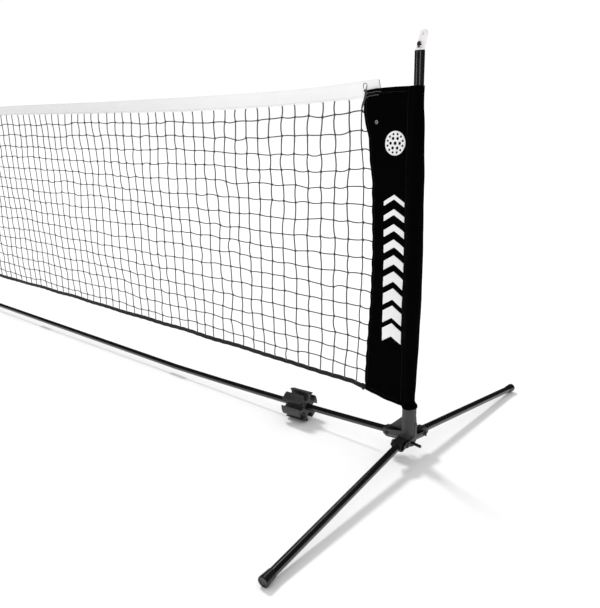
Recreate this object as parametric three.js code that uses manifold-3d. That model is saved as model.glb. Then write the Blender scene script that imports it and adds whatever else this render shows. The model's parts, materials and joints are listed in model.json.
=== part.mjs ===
// Portable racket-sport net, 3 m wide: sectional base bar, two end joints with
// folding legs, two leaning posts, a slip-over net with side sleeves, and two
// clip hubs on the bar with open pockets for loose tubes.
// Millimetres, +Z up, +X along the net, front is -Y; origin on the floor under its middle.

import * as THREE from 'three';
import { mergeVertices } from 'three/addons/utils/BufferGeometryUtils.js';
import Module from 'manifold-3d';

const wasm = await Module();
wasm.setup();

// ------------------------------------------------------- shared dimensions
const SIDES = [[1, 'R'], [-1, 'L']];   // sign of X, mesh name tag
const POST_X = 1830;          // post axis at the joint, from the middle
const LEAN = 1.45;            // posts lean inward, degrees
const LEAN_Z = 58;            // height the lean turns about
const CORD_R = 1.4;           // headband and sleeve edge cords

// ----------------------------------------------------------------- matrices
const radians = THREE.MathUtils.degToRad;
const vec = (x, y, z) => new THREE.Vector3(x, y, z);
const shift = (x, y, z) => new THREE.Matrix4().makeTranslation(x, y, z);
const turnY = (degrees) => new THREE.Matrix4().makeRotationY(radians(degrees));
const chain = (...matrices) => matrices.reduce((product, matrix) => product.multiply(matrix),
  new THREE.Matrix4());
const basis = (xAxis, yAxis, zAxis, origin) => new THREE.Matrix4()
  .makeBasis(xAxis, yAxis, zAxis).setPosition(origin);
// stands an outline up: its x and y become X and Z, its thickness runs along Y
const upright = (x = 0, y = 0, z = 0) => basis(vec(1, 0, 0), vec(0, 0, 1), vec(0, -1, 0),
  vec(x, y, z));
const mirrorX = new THREE.Matrix4().makeScale(-1, 1, 1);
// tips the post toward the middle, in the frame of its end joint
const lean = chain(shift(0, 0, LEAN_Z), turnY(-LEAN), shift(0, 0, -LEAN_Z));

// ------------------------------------------------------------------- solids
// closed solid from a geometry, vertices merged, faces turned outward
function solid(geometry, matrix) {
  let merged = geometry.clone();
  if (matrix) merged.applyMatrix4(matrix);
  merged.deleteAttribute('normal');
  merged.deleteAttribute('uv');
  merged = mergeVertices(merged, 1e-4);
  const positions = merged.attributes.position.array;
  const index = merged.index.array;
  const corners = [0, 1, 2].map(() => vec(0, 0, 0));
  const triangles = [];
  let volume = 0;               // six times the signed volume
  for (let i = 0; i < index.length; i += 3) {
    const [a, b, c] = index.subarray ? index.subarray(i, i + 3) : index.slice(i, i + 3);
    if (a === b || b === c || a === c) continue;
    triangles.push(a, b, c);
    [a, b, c].forEach((vertex, k) => corners[k].fromArray(positions, 3 * vertex));
    volume += corners[0].dot(corners[1].cross(corners[2]));
  }
  if (volume < 0) {
    for (let i = 0; i < triangles.length; i += 3) {
      [triangles[i], triangles[i + 1]] = [triangles[i + 1], triangles[i]];
    }
  }
  return new wasm.Manifold(new wasm.Mesh({
    numProp: 3,
    vertProperties: new Float32Array(positions),
    triVerts: new Uint32Array(triangles),
  }));
}

function toGeometry(manifold) {
  const { vertProperties, numProp, triVerts } = manifold.getMesh();
  const positions = new Float32Array((vertProperties.length / numProp) * 3);
  for (let i = 0; i < positions.length / 3; i++) {
    for (let k = 0; k < 3; k++) positions[3 * i + k] = vertProperties[i * numProp + k];
  }
  const geometry = new THREE.BufferGeometry();
  geometry.setAttribute('position', new THREE.BufferAttribute(positions, 3));
  geometry.setIndex(new THREE.BufferAttribute(new Uint32Array(triVerts), 1));
  geometry.computeVertexNormals();
  return geometry;
}

const moved = (manifold, matrix) => solid(toGeometry(manifold), matrix);
const join = (first, ...rest) => rest.reduce((sum, part) => sum.add(part), first);
const cut = (first, ...rest) => rest.reduce((left, part) => left.subtract(part), first);

// turned profile about +Z: points are [radius, z]
function turned(points, segments) {
  const profile = points.map(([radius, z]) => new THREE.Vector2(radius, z));
  return new THREE.LatheGeometry(profile, segments).rotateX(Math.PI / 2);
}
const ring = (outer, inner, z0, z1, segments) => turned(
  [[inner, z0], [outer, z0], [outer, z1], [inner, z1], [inner, z0]], segments);
const rod = (radius, z0, z1, segments) => turned(
  [[0, z0], [radius, z0], [radius, z1], [0, z1]], segments);

function box(x0, x1, y0, y1, z0, z1) {
  return new THREE.BoxGeometry(x1 - x0, y1 - y0, z1 - z0)
    .translate((x0 + x1) / 2, (y0 + y1) / 2, (z0 + z1) / 2);
}

// flat shape pulled through a thickness, centred on its plane
function slab(shape, thickness, curveSegments) {
  return new THREE.ExtrudeGeometry(shape, { depth: thickness, bevelEnabled: false, curveSegments })
    .translate(0, 0, -thickness / 2);
}
const plate = (points, thickness) => slab(
  new THREE.Shape(points.map(([x, y]) => new THREE.Vector2(x, y))), thickness);

class FunctionCurve extends THREE.Curve {
  constructor(pointAt) {
    super();
    this.pointAt = pointAt;
  }

  getPoint(t, target = new THREE.Vector3()) {
    return target.copy(this.pointAt(t));
  }
}

// round tube or cord along a curve
function along(pointAt, { steps, outer, inner = 0, segments = 16 }) {
  const circle = [];
  for (let i = 0; i < segments; i++) {
    const angle = (i / segments) * Math.PI * 2;
    circle.push(new THREE.Vector2(Math.cos(angle) * outer, Math.sin(angle) * outer));
  }
  const shape = new THREE.Shape(circle);
  if (inner > 0) {
    const bore = circle.map((point) => point.clone().multiplyScalar(inner / outer)).reverse();
    shape.holes.push(new THREE.Path(bore));
  }
  const extrudePath = new FunctionCurve(pointAt);
  return solid(new THREE.ExtrudeGeometry(shape, { steps, bevelEnabled: false, extrudePath }));
}

// ---------------------------------------------------------------- materials
const look = (settings) => new THREE.MeshStandardMaterial(settings);
const looks = {
  tube: look({ color: 0x141415, roughness: 0.28, metalness: 0.35 }),
  moulding: look({ color: 0x3c3d3f, roughness: 0.6 }),
  fitting: look({ color: 0x222325, roughness: 0.55 }),
  rubber: look({ color: 0x1a1a1b, roughness: 0.7 }),
  steel: look({ color: 0x2b2c2e, roughness: 0.35, metalness: 0.8 }),
  white: look({ color: 0xf1f1ef, roughness: 0.45 }),
  tape: look({ color: 0xf4f4f2, roughness: 0.85 }),
  fabric: look({ color: 0x0b0b0c, roughness: 0.9 }),
  cord: look({ color: 0x2a2b2d, roughness: 0.8 }),
  net: look({ color: 0x2f3133, roughness: 0.85 }),
};

const group = new THREE.Group();

function addGroup() {
  const child = new THREE.Group();
  group.add(child);
  return child;
}
function put(parent, name, manifold, material) {
  const mesh = new THREE.Mesh(toGeometry(manifold), looks[material]);
  mesh.name = name;
  parent.add(mesh);
}

// ----------------------------------------------------------------- base bar
const BAR_R = 9.25;
const BAR_BORE = 8;
const BAR_JOINT_X = 890;      // outer ferrule of the bar
const BAR_JOINT_GAP = 0.3;    // each tube stops this far short of a joint
const BAR_LOW_Z = 27.4;       // centre line height of the middle sections
const BAR_RISE = 0.01958;     // rise of the end sections, linear term
const BAR_CURVE = 2.155e-5;   // rise of the end sections, quadratic term
const BAR_PIN_AT = 55;        // hinge pin, from the post axis
const BAR_FITTING_AT = 71.6;  // tube end of the end fitting, from the post axis
const BAR_END_X = POST_X - BAR_FITTING_AT - 1;
const FERRULE_HALF = 38;
const BAR_CORD_SHORT = 44;    // the cord stops this far inside the tube ends

function barZ(x) {
  const beyond = Math.abs(x) - BAR_JOINT_X;
  if (beyond <= 0) return BAR_LOW_Z;
  return BAR_LOW_Z + BAR_RISE * beyond + BAR_CURVE * beyond * beyond;
}

function alongBar(x0, x1, section) {
  const pointAt = (t) => {
    const x = x0 + (x1 - x0) * t;
    return vec(x, 0, barZ(x));
  };
  return along(pointAt, section);
}
const barTube = (x0, x1, steps) => alongBar(x0, x1, { steps, outer: BAR_R, inner: BAR_BORE });
const ferrule = (x0, x1, steps) => alongBar(x0, x1,
  { steps, outer: BAR_BORE - 0.45, inner: 5.6, segments: 10 });

function addBar() {
  const bar = addGroup();
  for (const [side, tag] of SIDES) {
    const mid = barTube(side * BAR_JOINT_GAP, side * (BAR_JOINT_X - BAR_JOINT_GAP), 1);
    const end = barTube(side * (BAR_JOINT_X + BAR_JOINT_GAP), side * BAR_END_X, 5);
    const outer = ferrule(side * (BAR_JOINT_X - FERRULE_HALF),
      side * (BAR_JOINT_X + FERRULE_HALF), 2);
    put(bar, `bar_tube_mid_${tag}`, mid, 'tube');
    put(bar, `bar_tube_end_${tag}`, end, 'tube');
    put(bar, `bar_ferrule_${tag}`, outer, 'steel');
  }
  put(bar, 'bar_ferrule_C', ferrule(-FERRULE_HALF, FERRULE_HALF, 1), 'steel');
  // elastic cord that holds the bar's sections together
  const cordX = BAR_END_X - BAR_CORD_SHORT;
  const cord = alongBar(-cordX, cordX, { steps: 18, outer: 2.2, segments: 6 });
  put(bar, 'bar_shock_cord', cord, 'cord');
}

// ---------------------------------------------------- arms of the end joint
// An arm is the bar or a leg where it folds into the joint. Distances along
// it (pinAt, endAt, tubeAt) run outward from the post axis.
const LEG_R = 9.75;
const LEG_BORE = 8.5;
const LEG_TIP = 580;          // centre of the round foot, along the leg
const LEG_SWEEP = 4;          // legs splay away from the net's middle, degrees
const LEG_AXIS_Z = 62;        // leg axis height at the post axis
const FOOT_R = 12.5;
const FOOT_GAP = 0.35;        // between leg tube and foot

const WALL_IN = 13;           // channel walls, half widths
const WALL_OUT = 17;
const EYE_R = 15.5;           // eye of each folding fitting
const EYE_CLEARANCE = 1.1;
const NECK_H = 10.4;          // neck, half height and half width
const NECK_W = 12;
const NECK_CHAMFER_X = 3;
const NECK_CHAMFER_Y = 2.4;
const SPIGOT_L = 36;          // reach into the tube
const PIN_R = 3.9;
const PIN_HOLE = 4.35;

// frames of an arm: `plate` for side outlines [outward, up], `pinned` with z
// along the hinge pin, `run` with z along the tube
function makeArm(outward, across, origin, sizes) {
  const up = outward.clone().cross(across).normalize();
  const pin = origin.clone().addScaledVector(outward, sizes.pinAt);
  return {
    ...sizes,
    plate: basis(outward, up, across.clone().negate(), origin),
    pinned: basis(up, outward, across, pin),
    run: basis(across, up, outward, origin),
  };
}

function makeBarArm() {
  const pinX = POST_X - BAR_PIN_AT;
  const slope = Math.atan(BAR_RISE + 2 * BAR_CURVE * (pinX - BAR_JOINT_X));
  const outward = vec(-Math.cos(slope), 0, -Math.sin(slope));
  const origin = vec(-BAR_PIN_AT, 0, barZ(pinX)).addScaledVector(outward, -BAR_PIN_AT);
  return makeArm(outward, vec(0, -1, 0), origin,
    { pinAt: BAR_PIN_AT, endAt: 66, tubeAt: BAR_FITTING_AT, spigotR: BAR_BORE - 0.7 });
}

// direction -1 is the leg on the joint's own -Y side, +1 the one on its +Y side
function makeLegArm(direction) {
  const slope = Math.asin((LEG_AXIS_Z - FOOT_R) / LEG_TIP);
  const sine = Math.sin(radians(LEG_SWEEP));
  const cosine = Math.cos(radians(LEG_SWEEP));
  const outward = vec(sine * Math.cos(slope), direction * cosine * Math.cos(slope),
    -Math.sin(slope));
  return makeArm(outward, vec(-direction * cosine, sine, 0), vec(0, 0, LEG_AXIS_Z),
    { pinAt: 46, endAt: 62, tubeAt: 67, spigotR: LEG_BORE - 0.4 });
}

const barArm = makeBarArm();
const legArms = [-1, 1].map((direction) => ({ direction, arm: makeLegArm(direction) }));
const arms = [barArm, ...legArms.map(({ arm }) => arm)];

// walls, floor and stop lip of one open-topped channel; outlines are [outward, up]
function channel({ plate: frame, endAt }) {
  const wallOutline = [
    [6, -20], [endAt - 9, -20], [endAt, -10], [endAt, 4.5], [endAt - 3, 7.6], [32, 8.6],
    [26, 10.5], [22, 15], [19.6, 24], [18.2, 36], [17.4, 48], [6, 48],
  ];
  const floorOutline = [
    [4, -20], [endAt - 9, -20], [endAt - 0.8, -12.2], [endAt - 0.8, -10.8],
    [endAt - 2.4, -10.8], [endAt - 8, -16.6], [4, -16.6],
  ];
  const [wallA, wallB] = [1, -1].map((sign) => solid(
    plate(wallOutline, WALL_OUT - WALL_IN).translate(0, 0, (sign * (WALL_IN + WALL_OUT)) / 2),
    frame));
  return join(wallA, wallB, solid(plate(floorOutline, 2 * WALL_IN + 1), frame));
}

// folding end fitting: eye on the pin, neck, and spigot into its tube
function knuckle({ plate: frame, pinned, run, pinAt, tubeAt, spigotR }) {
  const neckOutline = [
    [pinAt, -NECK_H], [tubeAt - NECK_CHAMFER_X, -NECK_H], [tubeAt, -NECK_H + NECK_CHAMFER_Y],
    [tubeAt, NECK_H - NECK_CHAMFER_Y], [tubeAt - NECK_CHAMFER_X, NECK_H], [pinAt, NECK_H],
  ];
  const eye = solid(rod(EYE_R, -NECK_W, NECK_W, 18), pinned);
  const neck = solid(plate(neckOutline, 2 * NECK_W), frame);
  const spigot = solid(rod(spigotR, tubeAt - 1, tubeAt + SPIGOT_L, 10), run);
  const hole = solid(rod(PIN_HOLE, -NECK_W - 2, NECK_W + 2, 10), pinned);
  return cut(join(eye, neck, spigot), hole);
}

// ---------------------------------------------------------- end joint parts
const POST_R = 11;
const POST_BORE = 9.8;
const POST_Z0 = 64;
const POST_Z1 = 974;

const SOCKET_R = 18;          // moulded post socket
const SOCKET_FLARE = 1.6;     // extra radius of its lower part
const SOCKET_BORE = 11.65;
const SOCKET_Z0 = 38;
const SOCKET_TOP = 135;

const BAR_PIN_HEAD_R = 6.4;
const GRIP_END = 46;          // grip end of a leg pin, from the leg's centre plane
const CLIP_R = 6.4;

// moulded joint: post socket, three channels and a rib over the bar channel
function endJoint() {
  const flareR = SOCKET_R + SOCKET_FLARE;
  const socket = solid(turned([
    [0, SOCKET_Z0], [SOCKET_R - 1, SOCKET_Z0], [flareR, SOCKET_Z0 + 2.6], [flareR, 106],
    [SOCKET_R, 118], [SOCKET_R, SOCKET_TOP - 1.5], [SOCKET_R - 1.5, SOCKET_TOP],
    [0, SOCKET_TOP],
  ], 20), lean);
  const ribOutline = [[10, 17.4], [50, 17.4], [50.5, 19.5], [19.5, 46], [10, 46]];
  const rib = solid(plate(ribOutline, 7), barArm.plate);
  const postBore = solid(rod(SOCKET_BORE, POST_Z0 - 0.8, SOCKET_TOP + 6, 20), lean);
  const pinHoles = arms.map(({ pinned }) => solid(
    rod(PIN_HOLE, -WALL_OUT - 4, WALL_OUT + 4, 10), pinned));
  // the eyes need the whole width of the channels, clear of the socket
  const eyeSpaces = arms.map(({ pinned }) => solid(
    rod(EYE_R + EYE_CLEARANCE, -WALL_IN, WALL_IN, 18), pinned));
  return cut(join(socket, ...arms.map(channel), rib), postBore, ...pinHoles, ...eyeSpaces);
}

// headed pin of the bar hinge
function barPin() {
  return solid(turned([
    [0, -19.4], [BAR_PIN_HEAD_R, -19.4], [BAR_PIN_HEAD_R, -17.4], [PIN_R, -17.4],
    [PIN_R, 19.6], [0, 19.6],
  ], 10), barArm.pinned);
}

function legFoot({ run }) {
  const innerR = LEG_R + FOOT_GAP;
  return solid(turned([
    [0, LEG_TIP + 2], [innerR, LEG_TIP + 2], [innerR, LEG_TIP - 28], [11.4, LEG_TIP - 28],
    [FOOT_R, LEG_TIP - 25], [FOOT_R, LEG_TIP], [10.6, LEG_TIP + 6.6], [5.6, LEG_TIP + 11],
    [0, LEG_TIP + 12],
  ], 16), run);
}

// leg pin, one end drawn out into a long grip rod
function legPin({ pinned }) {
  return solid(turned([
    [0, -22.4], [PIN_R, -22.4], [PIN_R, GRIP_END - 1.2], [2.8, GRIP_END], [0, GRIP_END],
  ], 10), pinned);
}

// push-on clip with a small peg, on the short end of the leg pin
function legPinClip({ pinned }) {
  return join(
    solid(ring(CLIP_R, PIN_R + 0.5, -19.2, -17.4, 10), pinned),
    solid(rod(1.5, -21.6, -18.4, 6), chain(pinned, shift(-5.3, 0, 0))));
}

function addLeg(parent, arm, tag) {
  const tube = solid(ring(LEG_R, LEG_BORE, arm.tubeAt + 0.4, LEG_TIP + 1, 16), arm.run);
  put(parent, `leg_fitting_${tag}`, knuckle(arm), 'fitting');
  put(parent, `leg_tube_${tag}`, tube, 'tube');
  put(parent, `leg_foot_${tag}`, legFoot(arm), 'rubber');
  put(parent, `leg_pin_${tag}`, legPin(arm), 'steel');
  put(parent, `leg_pin_clip_${tag}`, legPinClip(arm), 'steel');
}

// ----------------------------------------------------------------- post cap
const SLOT_X = -0.6;          // slot centre in the tongue
const SLOT_Z = 10;
const tongueFrame = chain(lean, shift(0.6, 0, POST_Z1 + 1.5), turnY(15));

// round-topped tongue with a slot below and an eyelet above, [x, z]
function tongueShape() {
  const tongue = new THREE.Shape();
  tongue.moveTo(-9.6, -4);
  tongue.lineTo(9.2, -4);
  tongue.lineTo(8.4, 30);
  tongue.absarc(0, 31.5, 8.4, 0, Math.PI, false);
  tongue.lineTo(-9.6, -4);
  const slot = new THREE.Path();
  slot.absellipse(SLOT_X, SLOT_Z, 3.1, 5.2, 0, Math.PI * 2, true);
  const eyelet = new THREE.Path();
  eyelet.absarc(0.4, 31, 2.1, 0, Math.PI * 2, true);
  tongue.holes.push(slot, eyelet);
  return tongue;
}

// plug, disc and tongue; the tongue is trimmed to what stands above the tube
function postCap() {
  const above = solid(box(-60, 60, -60, 60, POST_Z1 + 0.5, POST_Z1 + 90), lean);
  const tongue = solid(slab(tongueShape(), 7, 5), chain(tongueFrame, upright()));
  return join(
    solid(rod(POST_BORE - 0.4, POST_Z1 - 24, POST_Z1 + 1, 14), lean),
    solid(rod(POST_R, POST_Z1 + 0.4, POST_Z1 + 3.6, 20), lean),
    tongue.intersect(above));
}

// cord through the slot with a bead on either face
function capCordKnot() {
  const bead = (radii, y) => solid(
    new THREE.SphereGeometry(1, 8, 5).scale(...radii).translate(SLOT_X, y, SLOT_Z), tongueFrame);
  const cord = solid(rod(1.9, -5.5, 5.5, 6), chain(tongueFrame, upright(SLOT_X, 0, SLOT_Z)));
  return join(bead([3.3, 3.1, 5.6], -7.1), cord, bead([3.3, 2.6, 4.4], 6.5));
}

// one end, built with +X away from the middle; the left one is turned half round
function addEnd(side, tag) {
  const end = addGroup();
  end.position.set(side * POST_X, 0, 0);
  end.rotation.z = side > 0 ? 0 : Math.PI;
  put(end, `end_joint_${tag}`, endJoint(), 'moulding');
  put(end, `bar_end_fitting_${tag}`, knuckle(barArm), 'fitting');
  put(end, `bar_pin_${tag}`, barPin(), 'steel');
  for (const { direction, arm } of legArms) {
    addLeg(end, arm, `${direction * side < 0 ? 'front' : 'rear'}_${tag}`);
  }
  const post = solid(ring(POST_R, POST_BORE, POST_Z0, POST_Z1, 20), lean);
  put(end, `post_tube_${tag}`, post, 'tube');
  put(end, `post_cap_${tag}`, postCap(), 'white');
  put(end, `cap_cord_knot_${tag}`, capCordKnot(), 'cord');
}

// ---------------------------------------------------------------- clip hubs
const HUB_X = 1461;
const HUB_CHORD = 200;        // length of bar, in X, that sets the hub's tilt
const HUB_R = 43.8;
const HUB_L = 66;
const HUB_BORE = 10.2;
const HUB_PITCH = 32;         // pocket centres, from the hub axis
const HUB_POCKET = 11.4;      // pocket radius
const HUB_MOUTH = 17;         // width of a pocket's opening
const HUB_POCKETS = 6;
const HUB_TURN = 18;          // first pocket's angle about the bar, degrees

// round core on the bar with open tube pockets between T-shaped flanges
function clipHub() {
  const pocket = join(
    solid(rod(HUB_POCKET, -HUB_L, HUB_L, 12).translate(HUB_PITCH, 0, 0)),
    solid(box(HUB_PITCH, HUB_R + 5, -HUB_MOUTH / 2, HUB_MOUTH / 2, -HUB_L, HUB_L)));
  let hub = cut(solid(rod(HUB_R, -HUB_L / 2, HUB_L / 2, 36)),
    solid(rod(HUB_BORE, -HUB_L, HUB_L, 14)));
  for (let k = 0; k < HUB_POCKETS; k++) {
    const angle = radians((k * 360) / HUB_POCKETS + HUB_TURN);
    hub = cut(hub, moved(pocket, new THREE.Matrix4().makeRotationZ(angle)));
  }
  const centre = vec(HUB_X, 0, barZ(HUB_X));
  const farX = HUB_X + HUB_CHORD;
  const axis = vec(farX, 0, barZ(farX)).sub(centre).normalize();
  return moved(hub,
    basis(vec(0, -1, 0), vec(-axis.z, 0, axis.x), axis.clone().negate(), centre));
}

function addHub(side, tag) {
  const hub = clipHub();
  const placed = side > 0 ? hub : moved(hub, new THREE.Matrix4().makeRotationZ(Math.PI));
  put(group, `clip_hub_${tag}`, placed, 'moulding');
}

// ---------------------------------------------------------------------- net
const TAPE_Z0 = 875;          // white headband
const TAPE_Z1 = 911;
const TAPE_T = 5;
const TAPE_HALF = 1663;       // half length
const TAPE_INNER = 1.7;       // half width of the space inside the fold
const TAB_Y = 2.8;            // middle of the tabs behind the sleeves
const TAB_T = 1.6;
const TAB_X = TAPE_HALF - 6;
const NET_TOP = 871;
const SHEET_T = 1.2;
const SHEET_INSET = 1.2;      // netting stops short of the sleeve's inner edge
const BOTTOM_TAPE_H = 11;
const BOTTOM_SPANS = 12;
const SLEEVE_T = 3;
const TUNNEL_R = 16;
const TUNNEL_BORE = 13.4;
const TUNNEL_Z0 = 139;
const SLEEVE_TOP = 906;

// inner edge of the right side sleeve, drawn in by the netting's pull: [x, z]
const innerEdge = [
  [1694, 171], [1691, 185], [1694, 268], [1701, 404], [1703, 532], [1696, 653], [1685, 768],
  [1676, 831], [1670, 879], [1671, 903],
];
const postAxisX = (z) => POST_X - (z - LEAN_Z) * Math.tan(radians(LEAN));
// the bottom tape's centre line bows up toward the middle
const bottomZ = (x) => 184.3 - 14.8 * (x / 1641) ** 2;
const stationX = (half, i) => -half + (2 * half * i) / BOTTOM_SPANS;

// thin sheet between the tapes and the sleeves
function netting() {
  const sleeveSide = innerEdge
    .filter(([, z]) => z > 175 && z < NET_TOP)
    .map(([x, z]) => [x - SHEET_INSET, z]);
  const rightEdge = [[1688, 176], ...sleeveSide, [1669, NET_TOP]];
  const leftEdge = rightEdge.map(([x, z]) => [-x, z]).reverse();
  const lowerEdge = [];
  for (let i = 1; i < BOTTOM_SPANS; i++) {
    const x = stationX(1660, i);
    lowerEdge.push([x, bottomZ(x) + 6.6]);
  }
  return solid(plate([...rightEdge, ...leftEdge, ...lowerEdge], SHEET_T), upright());
}

// folded tape, open below, with a tab behind each sleeve; the fold is drawn in [y, z]
function headband() {
  const alongX = basis(vec(0, 1, 0), vec(0, 0, 1), vec(1, 0, 0), vec(0, 0, 0));
  const fold = plate([
    [-TAPE_T / 2, TAPE_Z0], [-TAPE_T / 2, TAPE_Z1 - 2], [-TAPE_T / 2 + 1.5, TAPE_Z1],
    [TAPE_T / 2 - 1.5, TAPE_Z1], [TAPE_T / 2, TAPE_Z1 - 2], [TAPE_T / 2, TAPE_Z0],
  ], 2 * TAPE_HALF);
  const inside = plate([
    [-TAPE_INNER, TAPE_Z0 - 5], [-TAPE_INNER, TAPE_Z1 - 3],
    [TAPE_INNER, TAPE_Z1 - 3], [TAPE_INNER, TAPE_Z0 - 5],
  ], 2 * TAPE_HALF + 40);
  const tabOutline = [
    [TAB_X, TAPE_Z0 + 1], [1706, 884], [1711, 903], [1705, 924], [1675, 917],
    [TAB_X, TAPE_Z1 - 2.5],
  ];
  const tab = solid(plate(tabOutline, TAB_T), upright(0, TAB_Y, 0));
  // joins the tab to the rear wall of the fold
  const bridge = box(TAB_X, TAPE_HALF + 1, TAPE_INNER, TAB_Y + TAB_T / 2,
    TAPE_Z0 + 1, TAPE_Z1 - 2.5);
  return join(cut(solid(fold, alongX), solid(inside, alongX)),
    tab, moved(tab, mirrorX), solid(bridge), solid(bridge, mirrorX));
}

function headbandCord() {
  const pointAt = (t) => vec(-TAPE_HALF + 2 * TAPE_HALF * t, 0, TAPE_Z1 - 5.2);
  return along(pointAt, { steps: 1, outer: CORD_R, segments: 8 });
}

function bottomTape() {
  const upper = [];
  const lower = [];
  for (let i = 0; i <= BOTTOM_SPANS; i++) {
    const x = stationX(1685, i);
    upper.push([x, bottomZ(x) + BOTTOM_TAPE_H / 2]);
    lower.push([x, bottomZ(x) - BOTTOM_TAPE_H / 2]);
  }
  return solid(plate([...lower, ...upper.reverse()], 4), upright());
}

// right side sleeve: a panel with a tunnel for the post
function sideSleeve() {
  const outline = [
    ...innerEdge, [1710, 905], [1760, SLEEVE_TOP], [postAxisX(SLEEVE_TOP), SLEEVE_TOP],
    [postAxisX(148), 148], [1776, 154],
  ];
  const postFrame = chain(shift(POST_X, 0, 0), lean);
  const panel = solid(plate(outline, SLEEVE_T), upright());
  const tunnel = solid(rod(TUNNEL_R, TUNNEL_Z0, SLEEVE_TOP, 18), postFrame);
  const hollow = solid(rod(TUNNEL_BORE, TUNNEL_Z0 - 30, SLEEVE_TOP + 28, 18), postFrame);
  return cut(join(panel, tunnel), hollow);
}

// flanged ring on the front of the sleeve
function sleeveEyelet() {
  return solid(turned([[1.4, 0], [4.2, 0], [4.6, 0.5], [3.6, 1.3], [1.4, 1.3], [1.4, 0]], 10),
    upright(1703.5, -SLEEVE_T / 2 - 0.3, 830.5));
}

// cord down the sleeve's inner edge, gently bowed
function edgeCord() {
  const pointAt = (t) => vec(
    1668.5 - 4 * Math.sin(t * Math.PI * 0.5 + 1.2) + 6 * Math.sin(Math.PI * t),
    -2.6,
    186 + (862 - 186) * t);
  return along(pointAt, { steps: 8, outer: CORD_R, segments: 6 });
}

const cornerTie = (x, y, z) => solid(ring(6.9, 4.5, -1.2, 1.2, 14), upright(x, y, z));

function addNet() {
  const net = addGroup();
  put(net, 'netting', netting(), 'net');
  put(net, 'headband', headband(), 'tape');
  put(net, 'headband_cord', headbandCord(), 'cord');
  put(net, 'bottom_tape', bottomTape(), 'fabric');
  for (const [side, tag] of SIDES) {
    const putSide = (name, part, material) => put(net, `${name}_${tag}`,
      side > 0 ? part : moved(part, mirrorX), material);
    putSide('side_sleeve', sideSleeve(), 'fabric');
    putSide('sleeve_eyelet', sleeveEyelet(), 'steel');
    putSide('edge_cord', edgeCord(), 'cord');
    putSide('corner_tie_top', cornerTie(1674.5, 0, 911.2), 'cord');
    putSide('corner_tie_bottom', cornerTie(1686, -4.2, 168), 'cord');
  }
}

addBar();
for (const [side, tag] of SIDES) addEnd(side, tag);
for (const [side, tag] of SIDES) addHub(side, tag);
addNet();

export default group;
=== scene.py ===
# Freestanding court net: a low base bar along x, a leaning post and two splayed legs at each end,
# and a net hung between cloth sleeves on the posts. The floor is z = 0 and the net is centred on
# the origin; end R is at +x, end L at -x, and the front is -y. Shapes are built in millimetres.
import json
import math

import bmesh
import bpy
import numpy as np
from mathutils import Matrix, Vector

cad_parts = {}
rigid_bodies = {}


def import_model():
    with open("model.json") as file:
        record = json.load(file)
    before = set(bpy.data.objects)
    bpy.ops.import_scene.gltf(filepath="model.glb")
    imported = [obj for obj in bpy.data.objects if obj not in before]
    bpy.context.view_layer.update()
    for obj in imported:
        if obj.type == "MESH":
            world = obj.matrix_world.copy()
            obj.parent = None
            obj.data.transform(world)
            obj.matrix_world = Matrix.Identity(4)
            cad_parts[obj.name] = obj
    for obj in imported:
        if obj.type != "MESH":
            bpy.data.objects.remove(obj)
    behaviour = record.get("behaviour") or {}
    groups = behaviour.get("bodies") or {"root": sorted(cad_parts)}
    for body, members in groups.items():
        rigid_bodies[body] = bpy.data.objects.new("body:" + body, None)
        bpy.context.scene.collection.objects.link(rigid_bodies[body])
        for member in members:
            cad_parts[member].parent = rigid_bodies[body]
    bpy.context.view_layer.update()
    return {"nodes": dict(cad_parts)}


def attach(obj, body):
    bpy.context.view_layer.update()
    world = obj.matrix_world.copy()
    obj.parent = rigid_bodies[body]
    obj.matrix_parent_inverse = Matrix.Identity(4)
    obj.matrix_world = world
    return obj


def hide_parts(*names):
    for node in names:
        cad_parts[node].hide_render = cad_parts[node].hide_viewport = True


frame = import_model()
MM = 0.001

# ------------------------------------------------------------------ dimensions
POST_X = 1830.0
POST_LEAN = math.radians(1.45)      # towards the net
LEAN_Z = 58.0                       # height the lean turns about
POST_R = 11.0
LEG_AXIS_Z = 63.2
LEG_SPLAY = math.radians(4.0)       # outward, away from the net
LEG_PIN_U = 46.0                    # pin distances from where the member's axis starts
BAR_PIN_U = 55.0
LEG_END = {-1: 592.0, 1: 580.0}     # leg length, by its direction along y at end R
LEG_TUBE_START = 67.4
BAR_Z = 27.4
BAR_BEND_X = 890.0                  # the bar is level up to here and then curves upward
BAR_SLOPE, BAR_CURVE = 0.01958, 2.155e-5
BAR_R = 9.25


def bar_z(x):
    past = np.maximum(np.abs(x) - BAR_BEND_X, 0.0)
    return BAR_Z + BAR_SLOPE * past + BAR_CURVE * past * past


# --------------------------------------------------------------- curve helpers
def waves(x, z, seed, length_x, length_z):
    """Smooth seeded ripple field of about unit size, with wavelengths near those given."""
    rng = np.random.default_rng(seed)
    count = 7
    out = np.zeros(np.broadcast(x, z).shape)
    for _ in range(count):
        kx = math.tau / length_x * rng.uniform(-1.2, 1.2)
        kz = math.tau / length_z * rng.uniform(-1.2, 1.2)
        out = out + np.sin(kx * x + kz * z + rng.uniform(0, 6.28))
    return out / math.sqrt(count / 2)


def smoothstep(start, end, x):
    t = np.clip((x - start) / (end - start), 0, 1)
    return t * t * (3 - 2 * t)


def bell(value, centre, width):
    return np.exp(-((value - centre) / width) ** 2)


def table(*rows):
    """Two-column rows as the two lists that np.interp reads."""
    return np.array(rows, float).T


# ------------------------------------------------------------- outline helpers
def rect(x0, y0, x1, y1):
    return [(x0, y0), (x1, y0), (x1, y1), (x0, y1)]


def oval(x, y, radius_x, radius_y, count):
    angles = [math.tau * i / count for i in range(count)]
    return [(x + radius_x * math.cos(a), y + radius_y * math.sin(a)) for a in angles]


def mirrored(half):
    """Outline rows followed by their mirror image in x."""
    return half + [(-x, *rest) for x, *rest in reversed(half)]


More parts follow.
